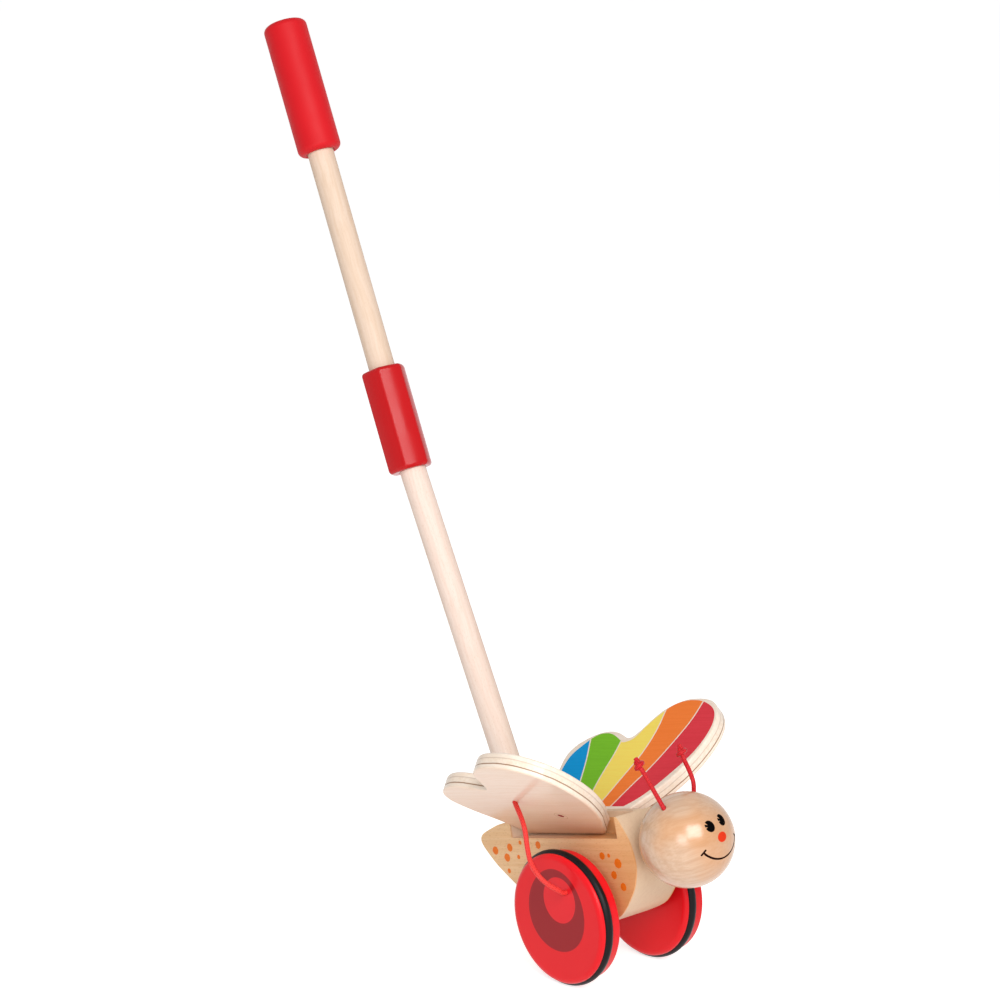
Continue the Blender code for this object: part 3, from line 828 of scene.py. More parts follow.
@functools.cache
def weave_group() -> NodeTree:
    """The fine plaited cover of an elastic cord, read from the cord's own attributes.

    Returns:
        The group.
    """
    graph, start, end = shader_group("cord_weave", {"Strands": 8.0, "Pitch": 0.0032}, ("Ribs", "Shine"))
    run = graph.add("ShaderNodeAttribute", attribute_name="cord_along").outputs["Fac"]
    turn = graph.add("ShaderNodeAttribute", attribute_name="cord_round").outputs["Vector"]
    across, deep, _ = graph.split(turn)
    angle = graph.times(graph.math("ARCTAN2", deep, across), start.outputs["Strands"])
    twist = graph.times(graph.over(run, start.outputs["Pitch"]), tau)
    strands = [graph.math("SINE", graph.math(way, angle, twist)) for way in ("ADD", "SUBTRACT")]
    graph.feed(end, {"Ribs": graph.math("MAXIMUM", *strands),
                     "Shine": graph.noise(graph.join(run), CORD_SHINE_SCALE)})
    return graph.tree


def start_material(name: str) -> tuple[Material, Graph, Node]:
    """Starts a material.

    Args:
        name: The material's name.

    Returns:
        The material, its graph and its Principled shader.
    """
    material = bpy.data.materials.new(name)
    material.use_nodes = True
    graph = Graph(material.node_tree)
    return material, graph, material.node_tree.nodes["Principled BSDF"]


def local(graph: Graph, where: Matrix) -> Socket:
    """The place on a piece in a frame of its own.

    Args:
        graph: The material that reads it.
        where: The frame.

    Returns:
        The place as a vector.
    """
    read = graph.add("ShaderNodeTexCoord").outputs["Object"]
    inputs = {"Vector": read, "Location": where.to_translation(), "Rotation": where.to_euler("XYZ")}
    return graph.add("ShaderNodeMapping", inputs, vector_type="TEXTURE").outputs[0]


class Finish:
    """What all finishes share: how their gloss and relief reach the shader."""

    name: str
    roughness: float
    specular: float
    relief: float
    gloss_drift: tuple = (0.04, 0.06)     # how much less and more rough it gets in patches

    def seal(self, graph: Graph, shader: Node, colour: Socket, gloss: Socket, height: Socket) -> None:
        """Gives a shader its colour, its uneven gloss and its relief.

        Args:
            graph: The material's graph.
            shader: Its Principled shader.
            colour: The surface's colour.
            gloss: What makes the gloss uneven.
            height: The relief's height as a share.
        """
        less, more = self.gloss_drift
        bump = graph.add("ShaderNodeBump", {"Height": height, "Distance": self.relief, "Strength": 1.0})
        graph.feed(shader, {"Base Color": colour, "Specular IOR Level": self.specular, "Normal": bump.outputs[0],
                            "Roughness": graph.remap(gloss, *NOISE_SPAN, self.roughness - less,
                                                     self.roughness + more)})


@dataclass(frozen=True)
class Wood(Finish):
    """A wood and its varnish."""

    name: str
    pale: Colour
    warm: Colour
    dark: Colour
    ring_share: float = 0.35
    fibre_share: float = 0.25
    fleck_share: float = 0.2
    ring_spacing: float = 0.0026
    grain_length: float = 0.055
    grain_width: float = 0.0016
    pith_y: float = 0.02
    pith_z: float = -0.05
    warp: float = 0.005
    roughness: float = 0.4
    specular: float = 0.4
    coat: float = 0.0
    coat_roughness: float = 0.3
    coat_ior: float = 1.5
    relief: float = 0.00002

    def paint(self, graph: Graph, place: Socket) -> tuple[Socket, Socket]:
        """Draws the wood's colour and relief.

        Args:
            graph: The material's graph.
            place: The place in the wood's frame, with the grain along X.

        Returns:
            The colour and the height of the fibres.
        """
        grain = graph.use(grain_group(), {
            "Vector": place, "Grain Length": self.grain_length, "Grain Width": self.grain_width,
            "Ring Spacing": self.ring_spacing, "Pith Y": self.pith_y, "Pith Z": self.pith_z, "Warp": self.warp})
        colour = graph.mix(graph.remap(grain["Streaks"], *STREAK_SPAN), self.pale, self.warm)
        for share in (graph.times(grain["Rings"], self.ring_share),
                      graph.remap(grain["Fibres"], *FIBRE_SPAN, 0.0, self.fibre_share),
                      graph.times(grain["Flecks"], self.fleck_share)):
            colour = graph.mix(share, colour, self.dark)
        return colour, grain["Fibres"]

    def material(self, where: Matrix) -> Material:
        """Makes the material for a piece whose grain runs along X of a frame.

        Args:
            where: The frame.

        Returns:
            The material.
        """
        material, graph, shader = start_material(self.name)
        self.varnish(graph, shader, *self.paint(graph, local(graph, where)))
        return material

    def varnish(self, graph: Graph, shader: Node, colour: Socket, height: Socket) -> None:
        """Seals the wood, with a little of the fibres' relief showing through the varnish."""
        self.seal(graph, shader, colour, height, height)
        graph.feed(shader, {"Coat Weight": self.coat, "Coat Roughness": self.coat_roughness,
                            "Coat IOR": self.coat_ior})


@dataclass(frozen=True)
class Ply(Wood):
    """Plywood: a face wood, with a darker middle layer between two glue lines that its edges show."""

    thickness: float = 0.0090
    glue_lines: tuple = ((0.30, 0.95), (0.66, 0.30))     # the height's share and the line's strength
    glue_width: float = 0.00046
    glue_wave_scale: float = 140.0
    glue: Colour = (0.30, 0.15, 0.07, 1.0)
    middle: Colour = (0.74, 0.56, 0.38, 1.0)
    middle_share: float = 0.25
    grit_scale: float = 700.0
    grit_span: tuple = (0.35, 0.65)

    def paint(self, graph: Graph, place: Socket) -> tuple[Socket, Socket]:
        """Draws the face wood, then the layers that show at the edges.

        Args:
            graph: The material's graph.
            place: The place in the wing's frame.

        Returns:
            The colour and the height of the fibres.
        """
        colour, height = super().paint(graph, place)
        up = graph.split(place)[2]
        lines = [(share * self.thickness, strength) for share, strength in self.glue_lines]
        inside = graph.times(graph.math("GREATER_THAN", up, lines[0][0]),
                            graph.math("LESS_THAN", up, lines[1][0]))
        grit = graph.remap(graph.noise(place, self.grit_scale, 3.0), *self.grit_span)
        core = graph.mix(grit, self.middle, self.pale)
        colour = graph.mix(graph.times(inside, self.middle_share), colour, core)
        wave = graph.times(graph.minus(graph.noise(place, self.glue_wave_scale), 0.5),
                          self.glue_width)
        for line, strength in lines:
            reach = graph.math("ABSOLUTE", graph.minus(graph.plus(up, wave), line))
            mask = graph.remap(reach, self.glue_width, self.glue_width / 3, 0.0, strength)
            colour = graph.mix(mask, colour, self.glue)
        return colour, height


@dataclass(frozen=True)
class BandInk(Finish):
    """A wing band's ink, thin enough for a little of the grain to show through."""

    name: str
    colour: Colour
    shade: Colour
    grain_share: float = 0.5
    streak_span: tuple = (0.36, 0.7)
    fibre_span: tuple = (0.5, 0.8)
    roughness: float = 0.5
    specular: float = 0.05
    relief: float = 0.000008

    def material(self, where: Matrix) -> Material:
        """Makes the material for a wing whose grain runs along X of a frame.

        Args:
            where: The frame.

        Returns:
            The material.
        """
        material, graph, shader = start_material(self.name)
        grain = graph.use(grain_group(), {"Vector": local(graph, where)})
        colour = self.colour
        for name, span in (("Streaks", self.streak_span), ("Fibres", self.fibre_span)):
            colour = graph.mix(graph.remap(grain[name], *span, 0.0, self.grain_share), colour, self.shade)
        self.seal(graph, shader, colour, grain["Fibres"], grain["Fibres"])
        return material


@dataclass(frozen=True)
class Coat(Finish):
    """A painted, printed, moulded or metal skin."""

    name: str
    colour: Colour
    shade: Colour
    tone_share: float = 0.5
    tone_size: float = 0.02
    peel_size: float = 0.0012
    relief: float = 0.000006
    roughness: float = 0.35
    gloss_drift: tuple = (0.03, 0.05)
    specular: float = 0.3
    metallic: float = 0.0

    def paint(self, graph: Graph) -> tuple[Socket, Sockets]:
        """Draws the skin's colour.

        Args:
            graph: The material's graph.

        Returns:
            The colour, and the masks of the skin's unevenness.
        """
        place = graph.add("ShaderNodeTexCoord").outputs["Object"]
        skin = graph.use(coat_group(), {"Vector": place, "Tone Size": self.tone_size, "Peel Size": self.peel_size})
        return graph.mix(graph.remap(skin["Tone"], *NOISE_SPAN, 0.0, self.tone_share), self.colour, self.shade), skin

    def material(self, print_over: Callable[[Graph, Socket], Socket] | None = None) -> Material:
        """Makes the material.

        Args:
            print_over: Draws a print over the skin's colour.

        Returns:
            The material.
        """
        material, graph, shader = start_material(self.name)
        colour, skin = self.paint(graph)
        if print_over:
            colour = print_over(graph, colour)
        self.seal(graph, shader, colour, skin["Gloss"], skin["Peel"])
        graph.feed(shader, {"Metallic": self.metallic})
        return material


@dataclass(frozen=True)
class Elastic(Finish):
    """Elastic cord with a plaited cover."""

    name: str
    colour: Colour
    shade: Colour
    strands: float = 8.0
    pitch: float = 0.0032
    rib_span: tuple = (0.9, -0.2)
    roughness: float = 0.42
    gloss_drift: tuple = (0.06, 0.08)
    specular: float = 0.2
    relief: float = 0.00005

    def material(self) -> Material:
        """Makes the material.

        Returns:
            The material.
        """
        material, graph, shader = start_material(self.name)
        weave = graph.use(weave_group(), {"Strands": self.strands, "Pitch": self.pitch})
        colour = graph.mix(graph.remap(weave["Ribs"], *self.rib_span), self.colour, self.shade)
        self.seal(graph, shader, colour, weave["Shine"], weave["Ribs"])
        return material


DRIVE_CORD_RED = Elastic("red_drive_cord", tint("#EC423C"), tint("#CF2B2A"))
TIE_CORD_RED = Elastic("red_tie_cord", tint("#B0201F"), tint("#861517"))
FEELER_RED = Elastic("red_feeler_cord", tint("#D42028"), tint("#A9141C"))
BLACK_RUBBER = Coat("black_rubber_ring", tint("#131013"), tint("#0E0B0D"), roughness=0.36, specular=0.16,
                    relief=0.00001)
WHEEL_RED = Coat("red_wheel_lacquer", tint("#E0141E"), tint("#DA111B"), roughness=0.29,
                 gloss_drift=(0.01, 0.01), specular=0.20, tone_share=0.3, tone_size=0.06, relief=0.000003)
SLEEVE_RED = Coat("red_sleeve_plastic", tint("#BE0910"), tint("#B6080F"), roughness=0.22, specular=0.21,
                  tone_size=0.05, relief=0.000002)
GRIP_RED = Coat("red_grip_paint", tint("#CE121C"), tint("#C60F19"), roughness=0.5, specular=0.22,
                tone_size=0.03)
NYLON = Coat("white_nylon_spacer", tint("#E4E2DA"), tint("#DAD7CD"), roughness=0.4)
STEEL = Coat("axle_steel_rod", tint("#B8B8B8"), tint("#A9A9A9"), roughness=0.3, specular=0.5, metallic=1.0)
BEECH = Wood("varnished_beech_block", tint("#ECC698"), tint("#E5BA89"), tint("#A86A36"), ring_share=0.10,
             fibre_share=0.16, fleck_share=0.30, grain_length=0.07, grain_width=0.0018, warp=0.0012,
             roughness=0.42, specular=0.3)
MAPLE = Wood("varnished_ball_wood", tint("#D3B092"), tint("#C9A180"), tint("#A07452"), ring_share=0.16,
             fibre_share=0.14, fleck_share=0.08, ring_spacing=0.0052, grain_length=0.10, grain_width=0.0018,
             pith_y=0.03, pith_z=-0.07, warp=0.005, roughness=0.36, specular=0.0, coat=1.0,
             coat_roughness=0.23, coat_ior=1.75, relief=0.000004)
DOWEL = Wood("pale_dowel_wood", tint("#EDD8CB"), tint("#E8CFC0"), tint("#D0AE90"), ring_share=0.06,
             fibre_share=0.10, fleck_share=0.32, roughness=0.5, specular=0.25, relief=0.00001)
UPPER_DOWEL = replace(DOWEL, name="warmer_dowel_wood", pale=tint("#E1C9B5"), warm=tint("#DABFA7"))
BIRCH_PLY = Ply("birch_ply", tint("#F8E8D8"), tint("#F4E0CC"), tint("#CFAE88"), ring_share=0.06,
                fibre_share=0.10, fleck_share=0.10, grain_length=0.08, grain_width=0.002, roughness=0.5,
                specular=0.1, coat=0.5, coat_roughness=0.16, relief=0.000006)
BAND_INKS = (
    BandInk("blue_band_ink", tint("#009CE0"), tint("#0090D2")),
    BandInk("green_band_ink", tint("#7CC42A"), tint("#72B827")),
    BandInk("yellow_band_ink", tint("#FFE76C"), tint("#FEDE60")),
    BandInk("orange_band_ink", tint("#FC853A"), tint("#F57A31")),
    BandInk("red_band_ink", tint("#E23D4A"), tint("#D8343F")),
)
DOT_INK = Coat("orange_dot_ink", tint("#E8751A"), tint("#DE6812"), tone_size=0.002, roughness=0.45,
               specular=0.2)
EGG_RED = tint("#930D16")
DISC_RED = tint("#E11D27")
EYE_BLACK = tint("#0C0A0A")
NOSE_RED = tint("#DA3A20")
SMILE_BROWN = tint("#220F0C")
SAWN_PALE = tint("#D6BFA8")
SIDE_WARM = tint("#DE8C42")
# Painted light for the shaded notches: pale at their rear, warm bounce light at their front
NOTCH_PAINTED_LIGHT = tint("#F4DCC6")
NOTCH_PAINTED_BOUNCE = tint("#DC9E62")
# Painted warm shade and bounce light under the wings, near their root
ROOT_PAINTED_SHADE = tint("#D5935C")
HEAD_WARM = tint("#D9924F")
# Painted shade towards the face on the head's front
FACE_PAINTED_SHADE = tint("#C4864E")
PLUG_LINE = tint("#B98E66")


@dataclass
class BodyBlock:
    """The body: sawn to a profile, notched along both top edges for the wings, with printed dots."""

    length: float = 0.1220
    height: float = 0.0612
    width: float = 0.0340
    tail_x: float = -0.0764
    bottom_z: float = -0.0102
    rim: float = 0.0014
    notch_rim: float = 0.0004
    notch_depth: float = 0.0120
    notch_inside: float = 0.0085
    notch_from_tail: float = 0.0264
    notch_from_front: float = 0.0106
    web: float = 0.0054
    outline_shares: tuple = (
        (0.872, 1.000), (0.918, 0.989), (0.959, 0.870), (0.984, 0.770), (0.999, 0.641), (0.998, 0.534),
        (0.977, 0.407), (0.946, 0.310), (0.897, 0.199), (0.843, 0.118), (0.741, 0.052), (0.643, 0.010),
        (0.544, 0.005), (0.446, 0.056), (0.348, 0.158), (0.257, 0.286), (0.179, 0.408), (0.101, 0.533),
        (0.051, 0.632), (0.009, 0.737), (0.002, 0.791), (0.020, 0.838), (0.083, 0.889), (0.151, 0.930),
        (0.225, 0.944), (0.462, 0.977), (0.708, 0.997),
    )
    dot_places: tuple = (      # along the body, up it and the dot's radius
        (-0.0655, 0.0319, 0.0024), (-0.0530, 0.0337, 0.0023), (-0.0565, 0.0281, 0.0024),
        (-0.0437, 0.0365, 0.0013), (-0.0468, 0.0285, 0.0013), (-0.0566, 0.0207, 0.0014),
        (-0.0291, 0.0353, 0.0022), (0.0209, 0.0298, 0.0021), (0.0261, 0.0301, 0.0012),
        (0.0324, 0.0259, 0.0028), (0.0279, 0.0197, 0.0023), (0.0337, 0.0134, 0.0023),
    )
    dot_height: float = 0.00005
    dot_wobble: float = 0.0006
    dot_seed: int = 3
    warm_span: tuple = (-0.07, 0.045)      # from the tail's top to the nose's underside
    warm_share: float = 0.6
    sawn_share: float = 0.62
    # where the notches' painted light runs from pale to warm, and how much of it is laid on
    notch_light_span: tuple = (-0.035, 0.02)
    notch_light_share: float = 0.85

    @property
    def top_z(self) -> float:
        """The height of the block's top edge over the axle."""
        return self.bottom_z + self.height

    @property
    def ledge_z(self) -> float:
        """The height of the notches' floors."""
        return self.top_z - self.notch_depth

    def outline(self) -> list[Vector]:
        """The block's side view, as points in the toy's XZ plane."""
        shares = smooth_points([(*share, 0) for share in self.outline_shares], CURVE_STEPS, closed=True)
        return [Vector((self.tail_x + self.length * share.x, 0, self.bottom_z + self.height * share.y))
                for share in shares]

    def with_notch(self) -> tuple[list[Vector], list[int]]:
        """Adds the notch's corners to the side view.

        Returns:
            The outline's points with the two upper corners among them, and those corners' numbers.
        """
        rear, front = self.tail_x + self.notch_from_tail, self.tail_x + self.length - self.notch_from_front
        points = self.outline()
        result, marks = [], {}
        for index, point in enumerate(points):
            after = points[(index + 1) % len(points)]
            result.append(point)
            for name, x in (("rear", rear), ("front", front)):
                if min(point.z, after.z) > self.ledge_z and (point.x - x) * (after.x - x) < 0:
                    marks[name] = len(result)
                    result.append(point.lerp(after, (x - point.x) / (after.x - point.x)))
        return result, [marks["rear"], marks["front"]]

    def shape(self) -> BMesh:
        """The block in the toy's frame, with its notches and rounded edges.

        Returns:
            The shape.
        """
        outline, (rear, front) = self.with_notch()
        count = len(outline)
        chain = [(rear + step) % count for step in range((front - rear) % count + 1)]
        rest = [(front + step) % count for step in range((rear - front) % count + 1)]
        notched = [count + 1, count] + rest
        floor = [Vector((outline[index].x, 0, self.ledge_z)) for index in (front, rear)]
        build = bmesh.new()
        outer, inner = {}, {}
        hidden = set(chain[1:-1])
        for side in (-1, 1):
            shift = ACROSS * side * self.width / 2
            outer[side] = {index: build.verts.new(point + shift) for index, point in enumerate(outline + floor)
                           if index not in hidden}
            shift = ACROSS * side * self.web / 2
            inner[side] = {index: build.verts.new(point + shift) for index, point in enumerate(outline + floor)}
        rims, ledges = [], []
        for side in (-1, 1):
            face = build.faces.new([outer[side][index] for index in notched])
            rims += list(face.edges)
            build.faces.new([inner[side][index] for index in chain + [count, count + 1]])
            for start, end in zip(notched, notched[1:] + notched[:1]):
                build.faces.new([outer[side][start], outer[side][end], inner[side][end], inner[side][start]])
            ledges += [build.edges.get((inner[side][start], inner[side][end]))
                       for start, end in zip(chain, chain[1:])]
            ledges += [build.edges.get((inner[side][index], outer[side][index])) for index in (rear, front)]
        for start in range(count):
            end = (start + 1) % count
            build.faces.new([inner[-1][start], inner[-1][end], inner[1][end], inner[1][start]])
        bmesh.ops.recalc_face_normals(build, faces=build.faces)
        ease_edges(build, ledges, self.notch_rim, 2)
        ease_edges(build, [edge for edge in rims if edge.is_valid], self.rim, BOARD_RIM_STEPS)
        return build

    def make(self, head: "Head", handle: "Handle", wheels: "Wheels", wings: "Wings", cords: "Cords") -> None:
        """Builds the block with its bores and its dots.

        Args:
            head: The head that sits in its dish.
            handle: The handle whose rod stands in it.
            wheels: The wheels whose axle goes through it.
            wings: The wings that are tied to it.
            cords: The cord that ties them.
        """
        lean = handle.lean(handle.lower_lean)
        tools = [
            solid("tool", ball(head.radius + GAP, 5), TOY @ Matrix.Translation(head.centre)),
            drill(handle.foot + lean * self.height, -lean, handle.rod_radius + GAP, self.height + GAP, TOY,
                  ROD_SEGMENTS),
            drill((0, -self.width / 2, 0), ACROSS, wheels.bore, self.width + OVERRUN, TOY),
            drill((wings.tie_x, -self.web / 2, cords.tie_z), ACROSS, cords.hole_radius, self.web + OVERRUN, TOY),
        ]
        piece = Piece("carved_body", Body.TOY, "varnished_beech", ("body_block",))
        piece.make(self.shape(), TOY, [self.material()], tools)
        self.print_dots()

    def material(self) -> Material:
        """The block's varnished beech: warmer on its planed sides, paler where it was sawn across, with painted light
        and painted warm bounce light inside the notches, where the wings shade them.

        Returns:
            The material.
        """
        material, graph, shader = start_material(BEECH.name)
        place = local(graph, TOY)
        colour, height = BEECH.paint(graph, place)
        x, y, z = graph.split(place)
        warmth = graph.remap(graph.minus(x, z), *self.warm_span, 0.0, self.warm_share)
        warm = graph.mix(warmth, colour, SIDE_WARM)
        sawn = graph.mix(self.sawn_share, colour, SAWN_PALE)
        # Inside the notches: painted light, pale at the rear and warm bounce light at the front, in the wings' shade
        notch_light_colour = graph.mix(graph.remap(x, *self.notch_light_span), NOTCH_PAINTED_LIGHT, NOTCH_PAINTED_BOUNCE)
        notch = graph.remap(z, self.ledge_z - GAP, self.ledge_z, 0.0, self.notch_light_share)
        front = self.tail_x + self.length - self.notch_from_front
        for part, limit in ((z, self.ledge_z + self.notch_inside), (x, front + GAP)):
            notch = graph.times(notch, graph.math("LESS_THAN", part, limit))
        side = graph.remap(graph.math("ABSOLUTE", y), self.width / 2 - self.rim, self.width / 2 - self.rim / 5)
        BEECH.varnish(graph, shader, graph.mix(side, graph.mix(notch, sawn, notch_light_colour), warm), height)
        return material

    def print_dots(self) -> None:
        """Lays the orange dots on both sides of the block."""
        ink = DOT_INK.material()
        for side in Side:
            piece = Piece("body_dots_" + side.word, Body.TOY, "varnished_beech")
            places = [Vector((x, side.value * self.width / 2, z)) for x, z, _ in self.dot_places]
            obj = path_object(piece.name, places, [radius for _, _, radius in self.dot_places], Matrix.Identity(4))
            grow(obj, dots_tree(), {"Height": self.dot_height, "Wobble": self.dot_wobble,
                                    "Seed": self.dot_seed + side.value, "Finish": ink})
            obj.data.transform(TOY)
            piece.ride(obj)


@dataclass
class Face:
    """The printed face, in the head's frame: sizes across the toy and up from the head's middle."""

    eye_side: float = 0.0046
    eye_height: float = 0.0086
    eye_half_width: float = 0.00270
    eye_half_height: float = 0.00300
    eye_soft: float = 0.06
    glints: tuple = (          # each cut in an eye: its turn, slope and start
        (radians(179), 0.34, 0.0015),
        (radians(130), 0.30, 0.0013),
    )
    nose_height: float = 0.0011
    nose_half_width: float = 0.0032
    nose_half_height: float = 0.0026
    nose_soft: float = 0.12
    smile_height: float = 0.0051
    smile_radius: float = 0.0149
    smile_reach: float = 0.0126
    pen: float = 0.00052
    tick: tuple = (-0.0137, -0.0035, 0.0021, 0.0017)     # where it starts and how far it runs, across and up

    def draw(self, graph: Graph, place: Socket, colour: Socket) -> tuple[Socket, Socket]:
        """Draws the face over the wood.

        Args:
            graph: The head's material.
            place: The place in the head's frame.
            colour: The wood's colour.

        Returns:
            The colour with the face on it, and how much of each place is bare of ink.
        """
        x, y, z = graph.split(place)
        flat = graph.join(y, 0.0, z)
        front = graph.math("GREATER_THAN", x, 0.0)
        bare = graph.add("ShaderNodeValue").outputs[0]
        bare.default_value = 1.0

        def ink(mask: Socket, shade: Colour) -> None:
            """Prints a mark on the front of the head.

            Args:
                mask: Where the mark is.
                shade: Its colour.
            """
            nonlocal colour, bare
            mask = graph.times(mask, front)
            colour = graph.mix(mask, colour, shade)
            bare = graph.minus(bare, mask, clamp=True)

        def shape(group: NodeTree, across: float, up: float, sizes: Ways) -> Socket:
            """A printed shape at a place on the face."""
            return graph.use(group, {"Vector": flat, "At X": across, "At Z": up, **sizes})["Mask"]

        across, up, reach, rise = self.tick
        for side in Side:
            middle = side.value * self.eye_side, self.eye_height
            eye = shape(mark_group(), *middle, {"Half Width": self.eye_half_width,
                                                "Half Height": self.eye_half_height, "Soft": self.eye_soft})
            for turn, slope, start in self.glints:
                cut = shape(wedge_group(), *middle, {"Turn": turn, "Slope": slope, "Start": start})
                eye = graph.times(eye, graph.minus(1.0, cut))
            ink(eye, EYE_BLACK)
            ink(shape(stroke_group(), -side.value * across, up,
                      {"Reach X": -side.value * reach, "Reach Z": rise, "Half Width": self.pen}), SMILE_BROWN)
        ink(shape(mark_group(), 0.0, self.nose_height,
                  {"Half Width": self.nose_half_width, "Half Height": self.nose_half_height,
                   "Soft": self.nose_soft}), NOSE_RED)
        ink(shape(arc_group(), 0.0, self.smile_height,
                  {"Radius": self.smile_radius, "Reach": self.smile_reach, "Half Width": self.pen}), SMILE_BROWN)
        return colour, bare


@dataclass
class Head:
    """The ball head and its face."""

    radius: float = 0.0250
    centre: Vector = field(default_factory=lambda: Vector((0.0693, 0, 0.0351)))
    dowel_radius: float = 0.0040
    dowel_depth: float = 0.0130
    grain_turn: float = radians(52)
    grain_tilt: float = radians(-9)
    face_roll: float = radians(8.9)
    face_turn: float = radians(3.5)
    patch_scale: float = 42.0
    patch_span: tuple = (0.42, 0.68)
    patch_share: float = 0.45
    face_shade_share: float = 0.55

    def make(self, feelers: "Feelers") -> None:
        """Builds the ball with its holes.

        Args:
            feelers: The cords that stand in its top.
        """
        here = TOY @ Matrix.Translation(self.centre)
        tools = [drill((-self.radius, 0, 0), FORWARD, self.dowel_radius + GAP, self.dowel_depth + GAP, here)]
        tools += [drill(*feelers.hole(side), feelers.radius + GAP, feelers.seat + GAP, here) for side in Side]
        piece = Piece("ball_head", Body.TOY, "varnished_maple", ("head_ball",))
        piece.make(ball(self.radius, 7), here, [self.material(here)], tools)

    def material(self, here: Matrix) -> Material:
        """The head's varnished wood with its face, darker and warmer towards the front as painted shade.

        Args:
            here: The head's frame.

        Returns:
            The material.
        """
        material, graph, shader = start_material(MAPLE.name)
        grain = here @ Matrix.Rotation(self.grain_turn, 4, "Z") @ Matrix.Rotation(self.grain_tilt, 4, "Y")
        colour, height = MAPLE.paint(graph, local(graph, grain))
        patches = graph.noise(local(graph, here), self.patch_scale, 1.0)
        colour = graph.mix(graph.remap(patches, *self.patch_span, 0.0, self.patch_share), colour, HEAD_WARM)
        front = here @ Matrix.Rotation(self.face_roll, 4, "X") @ Matrix.Rotation(self.face_turn, 4, "Z")
        place = local(graph, front)
        # Painted shade: the front of the head, round the face, turns darker and warmer
        forward = graph.remap(graph.split(place)[0], self.radius / 2, self.radius, 0.0, self.face_shade_share)
        colour, bare = Face().draw(graph, place, graph.mix(forward, colour, FACE_PAINTED_SHADE))
        MAPLE.varnish(graph, shader, colour, height)
        graph.feed(shader, {"Coat Weight": graph.times(bare, MAPLE.coat)})
        return material


@dataclass
class Feelers:
    """The two cord feelers. Each route goes from the feeler's hole to its knot's middle, from the head's centre."""

    radius: float = 0.00120
    sides: int = 16
    seat: float = 0.0080
    right_route: tuple = ((0.0023, -0.0149, 0.0199), (-0.0037, -0.0154, 0.0313), (-0.0097, -0.0160, 0.0428))
    left_route: tuple = (
        (-0.0033, 0.0131, 0.0209), (-0.0028, 0.0136, 0.0274), (-0.0050, 0.0142, 0.0333),
        (-0.0079, 0.0147, 0.0386), (-0.0095, 0.0150, 0.0435),
    )

    def route(self, side: Side) -> list[Vector]:
        """One feeler's points."""
        chosen = self.left_route if side is Side.LEFT else self.right_route
        return [Vector(point) for point in chosen]

    def hole(self, side: Side) -> tuple[Vector, Vector]:
        """The mouth of a feeler's hole and the direction into the head."""
        mouth, above = self.route(side)[:2]
        return mouth, (mouth - above).normalized()

    def make(self, head: "Head") -> None:
        """Builds both feelers.

        Args:
            head: The head that they stand on.
        """
        here = TOY @ Matrix.Translation(head.centre)
        finish = FEELER_RED.material()
        knot = Knot()
        for side in Side:
            mouth, into = self.hole(side)
            points = self.route(side)
            out = (points[-1] - points[-2]).normalized()
            stem = smooth_points([*points[:-1], points[-1] - out * knot.reach], CURVE_STEPS)
            line = [mouth + into * self.seat] + stem
            wound = knot.points(points[-1], out, ACROSS)
            fatness = [1.0] * len(line) + knot.fatness(len(wound))
            piece = Piece("feeler_" + side.word, Body.TOY, "red_cord", ("antenna_" + side.word,))
            piece.ride(piece.sweep(line + wound, fatness, here, self.radius, self.sides, finish))


@dataclass
class Knot:
    """A small overhand knot: the cord goes up, round itself and up again through the turn."""

    reach: float = 0.0026
    scale: float = 0.00098
    fat_share: float = 1.12
    entry_rate: float = 6.0      # how fast the cord takes its thickness in the knot
    tail_start: float = 0.75
    tip_share: float = 0.5
    turns: tuple = (   # across, deep and up, in units of scale
        (-0.75, 0.0, -1.6), (-0.85, 0.0, 0.0), (-0.55, 0.5, 1.4), (0.5, 1.25, 1.7), (1.75, 0.7, 0.9),
        (1.8, -0.7, 0.2), (0.7, -1.75, -0.3), (-1.0, -1.7, -0.8), (-2.0, -0.3, -1.1), (-1.3, 1.4, -1.2),
        (0.2, 1.2, -1.2), (0.85, 0.2, -0.3), (0.7, 0.0, 1.2), (0.45, 0.1, 2.6), (0.2, 0.2, 4.2),
    )

    def points(self, middle: Vector, way: Vector, hint: Vector) -> list[Vector]:
        """The knot's line.

        Args:
            middle: The knot's middle.
            way: The direction in which the cord's end leaves.
            hint: A direction roughly across the cord.

        Returns:
            The points, from where the cord comes in to the end of its tail.
        """
        across = (hint - way * hint.dot(way)).normalized()
        deep = way.cross(across)
        chosen = [middle + (across * x + deep * y + way * z) * self.scale for x, y, z in self.turns]
        return smooth_points(chosen, CURVE_STEPS)

    def fatness(self, count: int) -> list[float]:
        """The cord's thickness along the knot, where it is pulled tight, and rounded off at its end.

        Args:
            count: How many points the knot's line has.

        Returns:
            The share of the cord's own thickness at each point.
        """
        result = []
        for index in range(count):
            share = index / (count - 1)
            loose = max(0.0, 1 - share * self.entry_rate, (share - self.tail_start) / (1 - self.tail_start))
            result.append(self.fat_share + (1 - self.fat_share) * loose)
        result[-1] = self.tip_share
        return result


